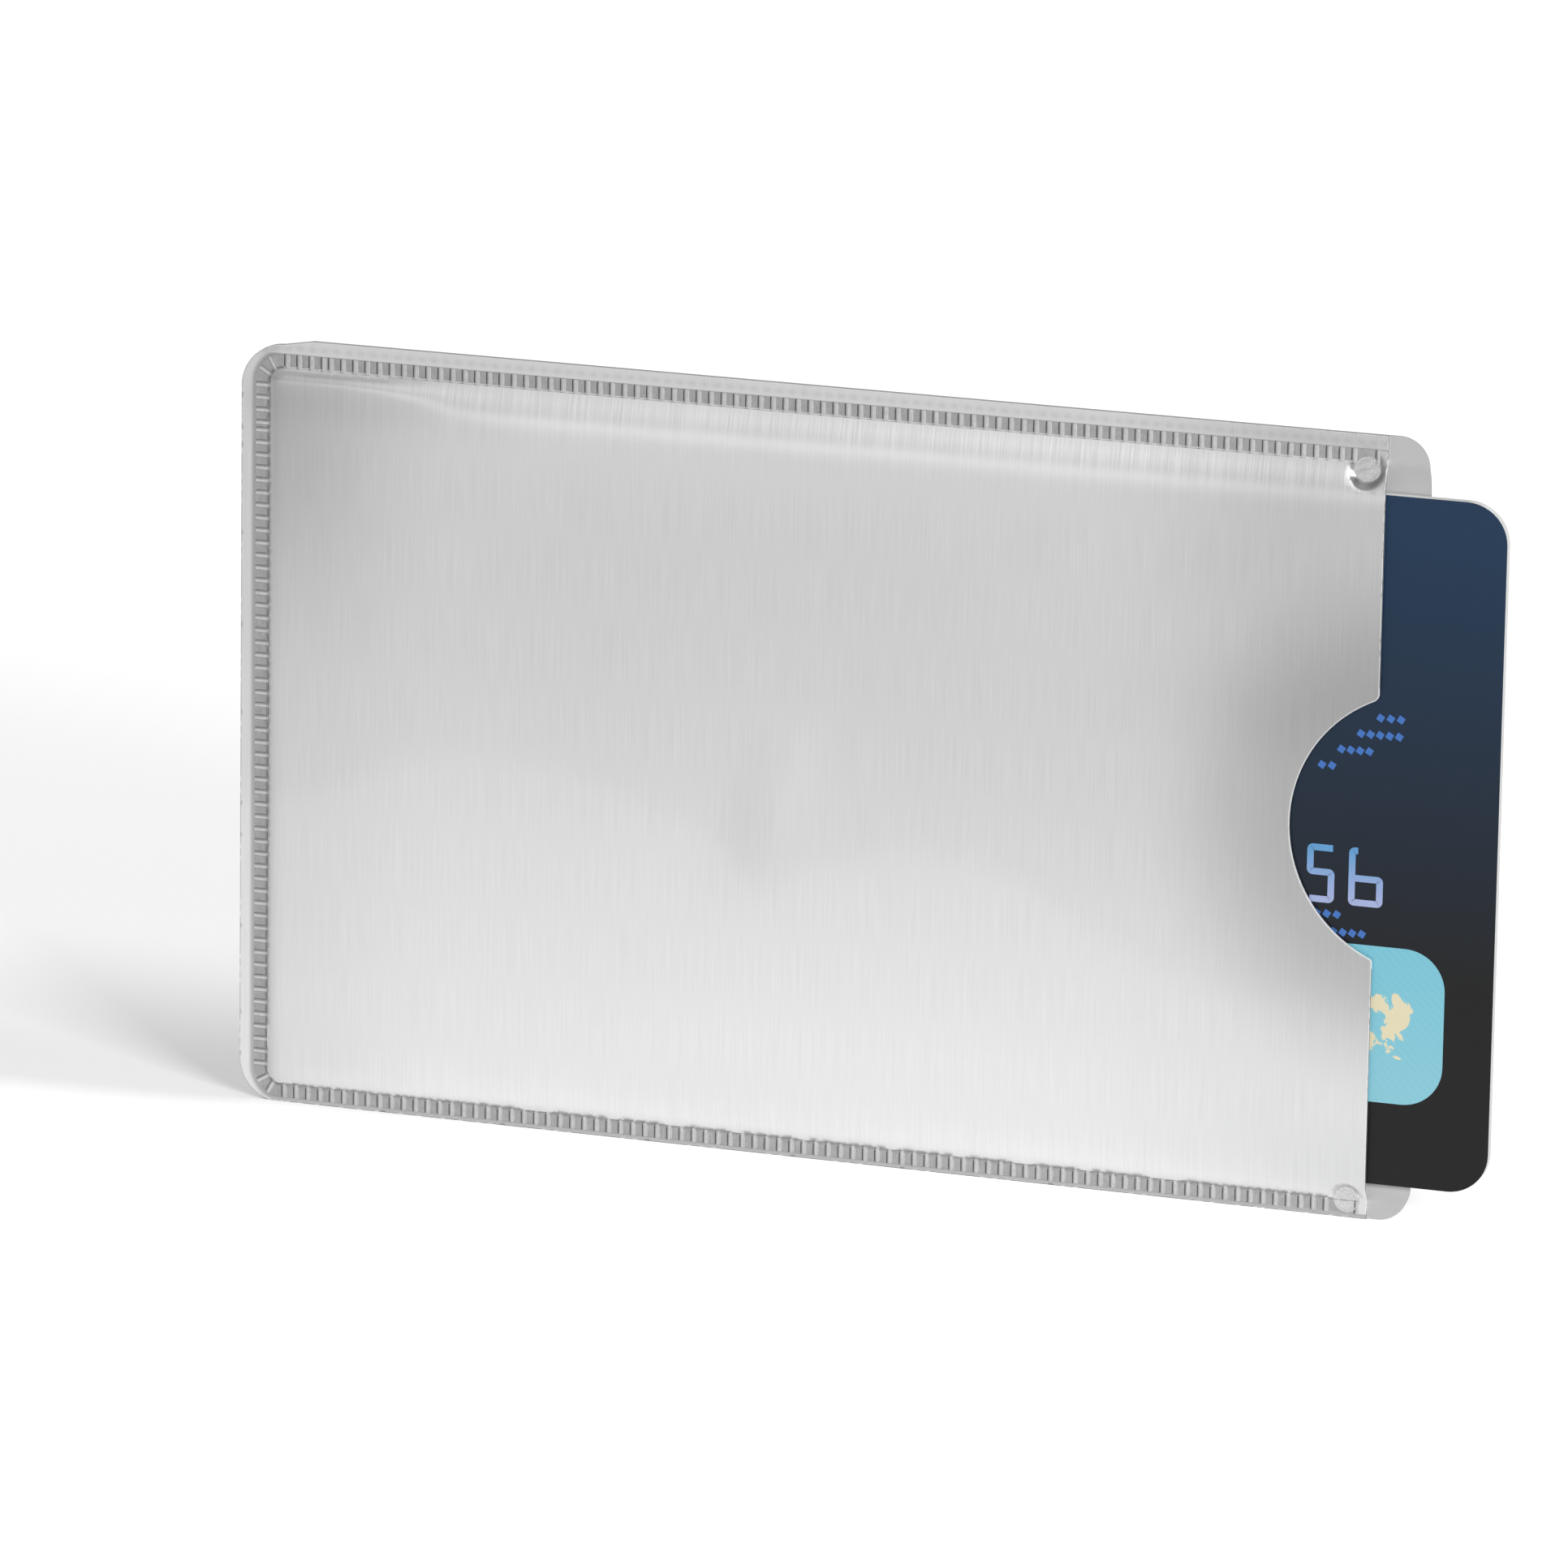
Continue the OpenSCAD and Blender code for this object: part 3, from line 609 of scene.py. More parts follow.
def swept(tree, curve, normal, profile):
    """A profile drawn along a curve into a closed solid."""
    turned = place(tree, "GeometryNodeSetCurveNormal", {"Curve": curve}, mode="FREE")
    turned.inputs["Normal"].default_value = normal
    return place(tree, "GeometryNodeCurveToMesh",
                 {"Curve": turned.outputs[0], "Profile Curve": profile, "Fill Caps": True}).outputs[0]


def finished_tree(tree, geometry):
    """Ends a tree in real meshes with one material."""
    real = place(tree, "GeometryNodeRealizeInstances", {0: geometry}).outputs[0]
    named = place(tree, "GeometryNodeSetMaterial", {"Geometry": real}).outputs[0]
    place(tree, "NodeGroupOutput", {"Geometry": named})
    return tree


def stroke_tree():
    """Lines become flat strokes with round corners."""
    tree, given, curve = new_tree(
        "printed_stroke", {"Width": 0.5 * MM, "Thickness": 0.01 * MM, "Corner": 0.2 * MM})
    rounded = place(tree, "GeometryNodeFilletCurve",
                    {"Curve": curve, "Radius": given["Corner"], "Count": 5}, mode="POLY").outputs[0]
    profile = place(tree, "GeometryNodeCurvePrimitiveQuadrilateral",
                    {"Width": given["Thickness"], "Height": given["Width"]}).outputs[0]
    return finished_tree(tree, swept(tree, rounded, (0, 1, 0), profile))


def rib_tree():
    """Lines across a weld become rounded ribs, whose points store on which side of it they lie."""
    tree, given, curve = new_tree("weld_rib", {"Half width": 0.24 * MM, "Height": 0.05 * MM})
    circle = place(tree, "GeometryNodeCurvePrimitiveCircle", {"Resolution": 12, "Radius": 1.0}).outputs[0]
    across = split(tree, place(tree, "GeometryNodeInputPosition").outputs[0])[1]
    marked = place(tree, "GeometryNodeStoreNamedAttribute",
                   {"Geometry": circle, "Name": "side", "Value": calc(tree, "MULTIPLY", across, -1.0)},
                   data_type="FLOAT", domain="POINT").outputs[0]
    size = place(tree, "ShaderNodeCombineXYZ",
                 {"X": given["Height"], "Y": given["Half width"], "Z": 1.0}).outputs[0]
    profile = place(tree, "GeometryNodeTransform", {"Geometry": marked, "Scale": size}).outputs[0]
    return finished_tree(tree, swept(tree, curve, (0, -1, 0), profile))


def squares_tree():
    """Small squares one after another along each line."""
    tree, given, curve = new_tree(
        "string_of_squares", {"Side": 0.52 * MM, "Pitch": 0.73 * MM, "Thickness": 0.01 * MM})
    spread = place(tree, "GeometryNodeResampleCurve", {"Curve": curve, "Length": given["Pitch"]},
                   mode="LENGTH").outputs[0]
    size = place(tree, "ShaderNodeCombineXYZ",
                 {"X": given["Side"], "Y": given["Thickness"], "Z": given["Side"]}).outputs[0]
    square = place(tree, "GeometryNodeMeshCube", {"Size": size}).outputs[0]
    strewn = place(tree, "GeometryNodeInstanceOnPoints", {"Points": spread, "Instance": square})
    strewn.inputs["Rotation"].default_value = (0, SQUARE_TURN, 0)
    return finished_tree(tree, strewn.outputs[0])


def grown(name, lines, depth, tree, material, sizes):
    """Plain mesh that a tree makes from lines of points in u and z at a depth in front of the middle."""
    corners, edges = [], []
    for line in lines:
        first = len(corners)
        corners += [((u + CLOSED_END_X) * MM, -depth * MM, z * MM) for u, z in line]
        edges += [(first + i, first + i + 1) for i in range(len(line) - 1)]
    thin = bpy.data.meshes.new(name + "_lines")
    thin.from_pydata(corners, edges, [])
    source = scene_object(name + "_lines", thin)
    tree.nodes["Set Material"].inputs["Material"].default_value = material
    modifier = source.modifiers.new("grow", "NODES")
    modifier.node_group = tree
    for socket in tree.interface.items_tree:
        if socket.in_out == "INPUT" and socket.name in sizes:
            modifier[socket.identifier] = sizes[socket.name]
    bpy.context.view_layer.update()
    depsgraph = bpy.context.evaluated_depsgraph_get()
    mesh = bpy.data.meshes.new_from_object(source.evaluated_get(depsgraph))
    bpy.data.objects.remove(source)
    mesh.name = name
    mesh.shade_flat()
    return scene_object(name, mesh)


PRINT_T = 0.008
DIGIT_H, DIGIT_W, DIGIT_PITCH, DIGIT_STROKE = 4.05, 2.2, 3.3, 0.52
ROW_END_U, ROW_Z, GROUP_GAP = 92.6, 25.0, 2.2
ROW = "1234 5678 9012 3156"
# Strokes of the digits on a grid one wide and one high
DIGIT_LINES = {
    "0": [[(0.5, 0), (1, 0), (1, 1), (0, 1), (0, 0), (0.5, 0)]],
    "1": [[(0.35, 0.85), (0.6, 1), (0.6, 0)]],
    "2": [[(0, 1), (1, 1), (1, 0.5), (0, 0.5), (0, 0), (1, 0)]],
    "3": [[(0, 1), (1, 1), (1, 0), (0, 0)], [(0.2, 0.5), (0.88, 0.5)]],
    "4": [[(0, 1), (0, 0.5), (0.88, 0.5)], [(1, 1), (1, 0)]],
    "5": [[(0.8, 1), (0, 1), (0, 0.53), (0.76, 0.53), (0.76, 0), (0, 0)]],
    "6": [[(0.2, 1), (0, 1), (0, 0), (1, 0), (1, 0.47), (0.12, 0.47)]],
    "7": [[(0, 1), (1, 1), (0.4, 0)]],
    "8": [[(0.5, 0), (1, 0), (1, 1), (0, 1), (0, 0), (0.5, 0)], [(0.12, 0.5), (0.88, 0.5)]],
    "9": [[(0.3, 0), (1, 0), (1, 1), (0, 1), (0, 0.55), (0.88, 0.55)]],
}


def row_lines():
    """Strokes of the whole row of numbers, placed on the card."""
    width = sum(GROUP_GAP if c == " " else DIGIT_PITCH for c in ROW) - (DIGIT_PITCH - DIGIT_W)
    at, lines = ROW_END_U - width, []
    for character in ROW:
        if character == " ":
            at += GROUP_GAP
            continue
        for line in DIGIT_LINES[character]:
            lines.append([(at + x * DIGIT_W, ROW_Z + y * DIGIT_H) for x, y in line])
        at += DIGIT_PITCH
    return lines


# Flights of rows of squares: where the first row starts, and how far each next one is moved along
SQUARE_FLIGHTS = [(92.3, 39.6, -1.5), (87.7, 23.9, 0.6), (58, 41, -1.5), (47, 20, 0.6), (26, 38, -1.5),
                  (70, 16, 0.6)]
ROW_LENGTHS, ROW_DROP, SQUARE_TURN = (1.6, 3.0, 2.2, 0.8), 1.35, math.radians(31)


def square_lines():
    """Lines that the squares follow: level rows in flights, each row under the last."""
    lines = []
    for u, z, step in SQUARE_FLIGHTS:
        for i, length in enumerate(ROW_LENGTHS):
            start, row_z = u + step * i, z - ROW_DROP * i
            if row_z > EMBLEM_HIGH[2] + 0.5 or u < EMBLEM_LOW[0] - CLOSED_END_X - 8:
                lines.append([(start, row_z), (start + length, row_z)])
    return lines


# Shader pieces


def rest_of(tree, value):
    """1 less a value."""
    return calc(tree, "SUBTRACT", 1.0, value)


def around(tree, middle, swing, noise):
    """A value that swings about its middle with a noise from 0 to 1."""
    return calc(tree, "MULTIPLY_ADD", noise, swing, middle - swing / 2)


def share_of(tree, value, low, high, curve="LINEAR"):
    """0 at low and below, 1 at high and above."""
    return place(tree, "ShaderNodeMapRange", {"Value": value, "From Min": low, "From Max": high},
                 interpolation_type=curve).outputs[0]


def between(tree, value, low, high):
    """0 below low, 1 above high, smooth between them."""
    return share_of(tree, value, low, high, "SMOOTHSTEP")


def tint(tree, factor, first, second, blend="MIX"):
    """Mix of two colours."""
    node = place(tree, "ShaderNodeMix", data_type="RGBA", blend_type=blend)
    for name, value in (("Factor_Float", factor), ("A_Color", first), ("B_Color", second)):
        socket = next(s for s in node.inputs if s.identifier == name)
        if isinstance(value, bpy.types.NodeSocket):
            tree.links.new(value, socket)
        else:
            socket.default_value = value
    return next(s for s in node.outputs if s.identifier == "Result_Color")


def shaded(tree, colour, shade):
    """A colour made lighter or darker by a value."""
    return tint(tree, 1.0, colour, shade, "MULTIPLY")


def grey(value):
    """A grey as a colour."""
    return (value, value, value, 1)


def value_of(tree, key):
    """A value that the piece's own mesh holds."""
    return place(tree, "ShaderNodeAttribute", attribute_name=key).outputs["Fac"]


def use_group(tree, group, inputs):
    """Outputs of a node group that is added to a tree."""
    return place(tree, "ShaderNodeGroup", inputs, node_tree=group).outputs


def bumped(tree, height, distance):
    """Normal of a face that is uneven by a distance in millimetres."""
    return place(tree, "ShaderNodeBump",
                 {"Height": height, "Distance": distance * MM, "Strength": 1.0}).outputs["Normal"]


def new_group(name, inputs, outputs):
    """Shader node group with named inputs and outputs."""
    tree = bpy.data.node_groups.new(name, "ShaderNodeTree")
    for key, value in inputs.items():
        kind = "NodeSocketVector" if value is None else "NodeSocketFloat"
        socket = tree.interface.new_socket(key, in_out="INPUT", socket_type=kind)
        if value is not None:
            socket.default_value = value
    for key in outputs:
        tree.interface.new_socket(key, in_out="OUTPUT", socket_type="NodeSocketFloat")
    return tree, place(tree, "NodeGroupInput").outputs


def swung(tree, noise, contrast):
    """Outputs of a group that shades by a noise and gives the noise as a height."""
    swing = calc(tree, "MULTIPLY", calc(tree, "SUBTRACT", noise, 0.5), contrast)
    place(tree, "NodeGroupOutput", {"Shade": calc(tree, "ADD", 1.0, swing), "Height": noise})
    return tree


def hairline_group():
    """Fine brushed lines that run up the sleeve."""
    tree, given = new_group(
        "hairline", {"Place": None, "Lines per mm": 9.0, "Length mm": 6.0, "Contrast": 0.1},
        ("Shade", "Height"))
    x, _, z = split(tree, given["Place"])
    across = calc(tree, "MULTIPLY", x, calc(tree, "DIVIDE", given["Lines per mm"], MM))
    along = calc(tree, "DIVIDE", z, calc(tree, "MULTIPLY", given["Length mm"], MM))
    at = place(tree, "ShaderNodeCombineXYZ", {0: across, 2: along}).outputs[0]
    fine = place(tree, "ShaderNodeTexNoise", {"Vector": at, "Scale": 1.0, "Detail": 2.0}).outputs["Fac"]
    return swung(tree, fine, given["Contrast"])


def cloud_group():
    """Wide soft change of shade, with finer specks in it."""
    tree, given = new_group("cloud", {"Place": None, "Size mm": 12.0, "Contrast": 0.1, "Specks": 0.5},
                            ("Shade", "Height"))
    scale = calc(tree, "DIVIDE", 1 / MM, given["Size mm"])
    wide = place(tree, "ShaderNodeTexNoise",
                 {"Vector": given["Place"], "Scale": scale, "Detail": 6.0,
                  "Roughness": given["Specks"]}).outputs["Fac"]
    return swung(tree, wide, given["Contrast"])


def cut_edge_group():
    """1 on cut edges and walls, 0 on the faces that look to the front or back."""
    tree, given = new_group("cut_edge", {"Normal": None}, ("Edge",))
    facing = calc(tree, "ABSOLUTE", split(tree, given["Normal"])[1])
    place(tree, "NodeGroupOutput", {"Edge": rest_of(tree, between(tree, facing, 0.25, 0.6))})
    return tree


HAIRLINE, CLOUD, CUT_EDGE = hairline_group(), cloud_group(), cut_edge_group()


# Materials


def new_material(name, **fixed):
    """Material with a Principled shader. Fixed values go on the shader's own sockets."""
    material = bpy.data.materials.new(name)
    material.use_nodes = True
    tree = material.node_tree
    shader = tree.nodes["Principled BSDF"]
    for key, value in fixed.items():
        shader.inputs[key.replace("_", " ")].default_value = value
    return material, tree, shader, place(tree, "ShaderNodeTexCoord").outputs


def wire(tree, shader, values):
    """Links values to the shader's sockets."""
    for name, value in values.items():
        tree.links.new(value, shader.inputs[name])


# Shares of brightness that the painted shade of the press marks takes away
PRESS_LINE_SHADE, PRESS_DOT_SHADE = 0.42, 0.12
# Painted light and shade on the film's cut edges: shaded thin rim, its foot on the table in contact shadow,
# pale lit stretches, and the walls, lit at the mouth
SHADED_RIM_TONE, FOOT_SHADOW_TONE, HIGHLIGHT_RIM_TONE = 0.42, 0.1, 0.98
SHADED_WALL_TONE, HIGHLIGHT_MOUTH_WALL_TONE = 0.43, 0.95
RIM_SHARE, EDGE_ROUGHNESS, EDGE_DULLNESS = 0.85, 0.6, 0.8


def flange_shade(tree, at):
    """Painted shade of the press marks beside the weld: a darker line round it, and soft dark dots along the
    upper edge.
    """
    beyond = value_of(tree, "beyond_weld")
    x, _, z = split(tree, at)
    upper = between(tree, z, (WELD_Z1 + WELD_W) * MM, (WELD_Z1 + WELD_W + 0.1) * MM)
    near = calc(tree, "MULTIPLY", between(tree, beyond, -0.1, 0.05),
                rest_of(tree, between(tree, beyond, 0.1, 0.5)))
    line = calc(tree, "MULTIPLY", near, rest_of(tree, upper))
    start = CLOSED_END_X + CORNER_U + FIRST_RIB + (RIBS_BEFORE_SHORT - 1) * RIB_PITCH + SHORT_CELL
    phase = calc(tree, "MULTIPLY", calc(tree, "SUBTRACT", x, start * MM), 2 * math.pi / (RIB_PITCH * MM))
    dots = calc(tree, "MULTIPLY_ADD", calc(tree, "COSINE", phase), -0.35, 0.65)
    row = calc(tree, "MULTIPLY", between(tree, beyond, 0.15, 0.5),
               rest_of(tree, between(tree, beyond, 0.5, 0.95)))
    dots = calc(tree, "MULTIPLY", calc(tree, "MULTIPLY", dots, row), upper)
    shade = rest_of(tree, calc(tree, "MULTIPLY", line, PRESS_LINE_SHADE))
    return calc(tree, "SUBTRACT", shade, calc(tree, "MULTIPLY", dots, PRESS_DOT_SHADE))


def film_material(name, tone, contrast, roughness, turn):
    """Metallised film: fine hairlines, a soft cloud, painted shade and highlight with the press marks'
    painted shade, and cut edges with a thin painted rim.
    """
    material, tree, shader, at = new_material(name, Anisotropic=turn)
    lines = use_group(tree, HAIRLINE, {"Place": at["Object"], "Contrast": contrast})
    cloud = use_group(tree, CLOUD, {"Place": at["Object"], "Size mm": 18.0, "Contrast": 0.04})
    edge = use_group(tree, CUT_EDGE, {"Normal": at["Normal"]})["Edge"]
    at_mouth, rim = value_of(tree, "at_mouth"), value_of(tree, "rim")
    # Painted shade and highlight held by the piece's points, times the press marks' painted shade
    shade = calc(tree, "MULTIPLY", calc(tree, "MULTIPLY", lines["Shade"], cloud["Shade"]),
                 calc(tree, "MULTIPLY", value_of(tree, "tone"), flange_shade(tree, at["Object"])))
    # Cut edges: painted highlight at the top and mouth, painted contact shadow at the foot, painted shade
    # elsewhere
    height = split(tree, at["Object"])[2]
    on_top = between(tree, height, (SLEEVE_H - 0.8) * MM, (SLEEVE_H - 0.6) * MM)
    over_foot = between(tree, height, 0.05 * MM, 0.3 * MM)
    rim_colour = tint(tree, calc(tree, "MAXIMUM", at_mouth, on_top),
                      tint(tree, over_foot, grey(FOOT_SHADOW_TONE), grey(SHADED_RIM_TONE)), grey(HIGHLIGHT_RIM_TONE))
    face = tint(tree, calc(tree, "MULTIPLY", rim, RIM_SHARE), shaded(tree, grey(tone), shade), rim_colour)
    wall = tint(tree, at_mouth, grey(SHADED_WALL_TONE), grey(HIGHLIGHT_MOUTH_WALL_TONE))
    rough = around(tree, roughness, 0.12, lines["Height"])
    dull = calc(tree, "MAXIMUM", edge, calc(tree, "MULTIPLY", rim, at_mouth))
    wire(tree, shader, {
        "Base Color": tint(tree, edge, face, wall),
        "Roughness": calc(tree, "MAXIMUM", rough, calc(tree, "MULTIPLY", edge, EDGE_ROUGHNESS)),
        "Metallic": rest_of(tree, calc(tree, "MULTIPLY", dull, EDGE_DULLNESS)),
        "Normal": bumped(tree, lines["Height"], 0.003),
        "Tangent": place(tree, "ShaderNodeTangent", direction_type="UV_MAP", uv_map="along").outputs[0],
    })
    return material


def plain_material(name, colour, roughness, size=1.5, contrast=0.12, depth=0.01, **fixed):
    """One colour with a soft cloud in it and a slightly uneven face."""
    material, tree, shader, at = new_material(name, **fixed)
    cloud = use_group(tree, CLOUD, {"Place": at["Object"], "Size mm": size, "Contrast": contrast,
                                    "Specks": 0.6})
    wire(tree, shader, {
        "Base Color": shaded(tree, colour, cloud["Shade"]),
        "Roughness": around(tree, roughness, 0.15, cloud["Height"]),
        "Normal": bumped(tree, cloud["Height"], depth),
    })
    return material


# White of the core, and the painted shade of its short cut edges
CORE_TONE, SHADED_SHORT_EDGE_TONE = 0.86, 0.65


def core_colour(tree, at):
    """White of the card's core, with painted shade greying its short cut edges."""
    along = calc(tree, "ABSOLUTE", split(tree, at["Normal"])[0])
    return tint(tree, between(tree, along, 0.4, 0.9), grey(CORE_TONE), grey(SHADED_SHORT_EDGE_TONE))


def core_material(name, roughness):
    """White card core."""
    material, tree, shader, at = new_material(name)
    cloud = use_group(tree, CLOUD, {"Place": at["Object"], "Size mm": 1.5, "Contrast": 0.04})
    wire(tree, shader, {
        "Base Color": shaded(tree, core_colour(tree, at), cloud["Shade"]),
        "Roughness": around(tree, roughness, 0.1, cloud["Height"]),
    })
    return material


def print_material(name, top, bottom, roughness):
    """Printed sheet: one colour runs into another down the card, and its cut edge is the core's white, with
    painted shade on the short edges.
    """
    material, tree, shader, at = new_material(name, Specular_IOR_Level=0.3)
    share = share_of(tree, split(tree, at["Object"])[2], CARD_Z0 * MM, CARD_Z1 * MM)
    edge = use_group(tree, CUT_EDGE, {"Normal": at["Normal"]})["Edge"]
    cloud = use_group(tree, CLOUD, {"Place": at["Object"], "Size mm": 0.6, "Contrast": 0.05, "Specks": 0.7})
    run = place(tree, "ShaderNodeValToRGB", {0: share})
    for element, colour, position in zip(run.color_ramp.elements, (bottom, top), (0.3, 0.95)):
        element.color = colour
        element.position = position
    face = shaded(tree, run.outputs[0], cloud["Shade"])
    wire(tree, shader, {
        "Base Color": tint(tree, edge, face, core_colour(tree, at)),
        "Roughness": around(tree, roughness, 0.1, cloud["Height"]),
        "Normal": bumped(tree, cloud["Height"], 0.002),
    })
    return material


# Half length and half height of the oval that the islands keep to
ISLANDS_HALF_L, ISLANDS_HALF_H = 8.6, 5.2


def emblem_material(name):
    """Pale blue foil with a cream pattern of islands."""
    material, tree, shader, at = new_material(name, Coat_Weight=0.2, Coat_Roughness=0.3)
    middle = [(a + b) / 2 * MM for a, b in zip(EMBLEM_LOW, EMBLEM_HIGH)]
    local = place(tree, "ShaderNodeVectorMath", {0: at["Object"], 1: middle},
                  operation="SUBTRACT").outputs[0]
    noise = place(tree, "ShaderNodeTexNoise",
                  {"Vector": local, "Scale": 260.0, "Detail": 5.0, "Roughness": 0.62,
                   "Distortion": 0.4}).outputs["Fac"]
    x, _, z = split(tree, local)
    squares = [calc(tree, "POWER", calc(tree, "DIVIDE", side, half * MM), 2.0)
               for side, half in ((x, ISLANDS_HALF_L), (z, ISLANDS_HALF_H))]
    reach = calc(tree, "SQRT", calc(tree, "ADD", *squares))
    land = calc(tree, "SUBTRACT", noise, calc(tree, "MULTIPLY", calc(tree, "POWER", reach, 4.0), 0.2))
    streak = place(tree, "ShaderNodeTexWave", {"Vector": local, "Scale": 900.0, "Distortion": 0.5},
                   bands_direction="DIAGONAL").outputs["Fac"]
    sea = tint(tree, share_of(tree, z, -6 * MM, 6 * MM), (0.23, 0.54, 0.64, 1), (0.175, 0.51, 0.63, 1))
    sea = tint(tree, calc(tree, "MULTIPLY", streak, 0.12), sea, (0.32, 0.62, 0.7, 1))
    wire(tree, shader, {
        "Base Color": tint(tree, between(tree, land, 0.505, 0.52), sea, (0.74, 0.67, 0.46, 1)),
        "Roughness": around(tree, 0.35, 0.1, noise),
    })
    return material


def ink_material(name, top, bottom):
    """Ink of the numbers: one colour runs into another down the row."""
    material, tree, shader, at = new_material(name, Roughness=0.4)
    share = share_of(tree, split(tree, at["Object"])[2], ROW_Z * MM, (ROW_Z + DIGIT_H) * MM)
    cloud = use_group(tree, CLOUD, {"Place": at["Object"], "Size mm": 0.3, "Contrast": 0.06})
    wire(tree, shader, {"Base Color": shaded(tree, tint(tree, share, bottom, top), cloud["Shade"])})
    return material


WELD_TONE, RIB_SHADE_TONE = 0.42, 0.1
FIBRE = {"Size mm": 0.35, "Contrast": 0.55, "Specks": 0.75}
# Painted highlight on one side of a rib: its tone on the straight seams, and what it gains at the closed end
RIB_HIGHLIGHT_TONE, RIB_HIGHLIGHT_GAIN = 0.62, 0.08


def weld_material(name):
    """Pressed weld: a dull fibrous floor, and a line along the pocket in a painted tone: highlight on the
    upper weld, shadow at the closed end.
    """
    material, tree, shader, at = new_material(name, Metallic=0.6)
    fibre = use_group(tree, CLOUD, {"Place": at["Object"], **FIBRE})
    strand = use_group(tree, HAIRLINE, {"Place": at["Object"], "Lines per mm": 7.0, "Length mm": 0.8,
                                        "Contrast": 0.35})
    inner = calc(tree, "MULTIPLY", value_of(tree, "inner_line"), 0.9)
    face = shaded(tree, shaded(tree, grey(WELD_TONE), fibre["Shade"]), strand["Shade"])
    wire(tree, shader, {
        "Base Color": tint(tree, inner, face, shaded(tree, value_of(tree, "painted_bead_shading"), fibre["Shade"])),
        "Roughness": around(tree, 0.5, 0.1, fibre["Height"]),
        "Normal": bumped(tree, fibre["Height"], 0.03),
    })
    return material


def rib_material(name):
    """Rib of a weld: painted shade on one side and a painted highlight on the other; at the closed end the
    shade is lighter and the highlight brighter.
    """
    material, tree, shader, at = new_material(name)
    fibre = use_group(tree, CLOUD, {"Place": at["Object"], **FIBRE})
    side = value_of(tree, "side")
    end_x = (CLOSED_END_X + CORNER_U) * MM
    at_end = rest_of(tree, between(tree, split(tree, at["Object"])[0], end_x - 0.3 * MM, end_x))
    dark = rest_of(tree, between(tree, side, -0.8, -0.35))
    dark = calc(tree, "MULTIPLY", dark, calc(tree, "MULTIPLY_ADD", at_end, -0.5, 1.0))
    light = calc(tree, "MULTIPLY", between(tree, side, -0.3, -0.05),
                 rest_of(tree, between(tree, side, 0.4, 0.7)))
    light_tone = calc(tree, "MULTIPLY_ADD", at_end, RIB_HIGHLIGHT_GAIN, RIB_HIGHLIGHT_TONE)
    face = tint(tree, dark, shaded(tree, grey(WELD_TONE), fibre["Shade"]), grey(RIB_SHADE_TONE))
    lit = shaded(tree, light_tone, fibre["Shade"])
    wire(tree, shader, {
        "Base Color": tint(tree, calc(tree, "MULTIPLY", light, 0.9), face, lit),
        "Roughness": calc(tree, "MULTIPLY_ADD", light, -0.04, 0.56),
        "Metallic": calc(tree, "MULTIPLY_ADD", light, 0.1, 0.6),
        "Normal": bumped(tree, fibre["Height"], 0.03),
    })
    return material


FRONT_FILM = film_material("brushed_silver_film", tone=0.88, contrast=0.16, roughness=0.36, turn=0.75)
BACK_FILM = film_material("plain_silver_film", tone=0.86, contrast=0.08, roughness=0.45, turn=0.4)
FOIL = plain_material("shield_foil", grey(0.9), 0.3, Metallic=1.0)
LINER = plain_material("seal_liner", grey(0.48), 0.55)
WELD = weld_material("pressed_weld")
RIB = rib_material("weld_rib")
SPOT_WELD = plain_material("round_weld", grey(0.7), 0.26, size=0.25, contrast=0.4, depth=0.05, Metallic=0.85)
CARD_PRINT = print_material("printed_sheet", (0.011, 0.034, 0.075, 1), (0.008, 0.008, 0.008, 1), 0.42)
CARD_CORE = core_material("card_core", 0.5)
COPPER = plain_material("antenna_copper", (0.72, 0.38, 0.2, 1), 0.3, Metallic=1.0)
RESIN = plain_material("chip_resin", grey(0.04), 0.5, size=0.4)
GOLD = plain_material("gold_contacts", (0.83, 0.62, 0.28, 1), 0.25, size=0.8, Metallic=1.0)
EMBLEM = emblem_material("emblem_foil")
STRIPE = plain_material("magnetic_stripe", grey(0.012), 0.3, size=3, contrast=0.3, depth=0.002)
SIGNATURE = plain_material("signature_panel", (0.82, 0.82, 0.79, 1), 0.7, size=0.4, contrast=0.06)
BLUE_INK = plain_material("blue_squares_ink", (0.047, 0.155, 0.47, 1), 0.45, size=0.3, contrast=0.1,
                          depth=0.002)
NUMBER_INK = ink_material("number_ink", top=(0.108, 0.31, 0.58, 1), bottom=(0.36, 0.42, 0.67, 1))

# Laminates in place of their plain solids

front_outline = [(FRONT_L, 0)] + notch_points() + [(FRONT_L, SLEEVE_H)] + closed_end_points()
back_outline = tongue_points() + closed_end_points()
front_flat = triangulate(front_outline, FRONT_L)
back_flat = triangulate(back_outline, BACK_L)
for side, film, flat, waves, tone in ((FRONT, FRONT_FILM, front_flat, FRONT_WAVES, painted_film_shading),
                                      (BACK, BACK_FILM, back_flat, BACK_WAVES, painted_lip_shadow)):
    layer_materials = {"film": film, "shield_foil": FOIL, "seal_liner": LINER}
    for node, piece in laminate(side, flat, waves, tone).items():
        word, layer = node.split("_", 1)
        piece.data.materials.append(layer_materials[layer])
        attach(piece, "sleeve")
        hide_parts(node)

# Welds in place of their plain solids

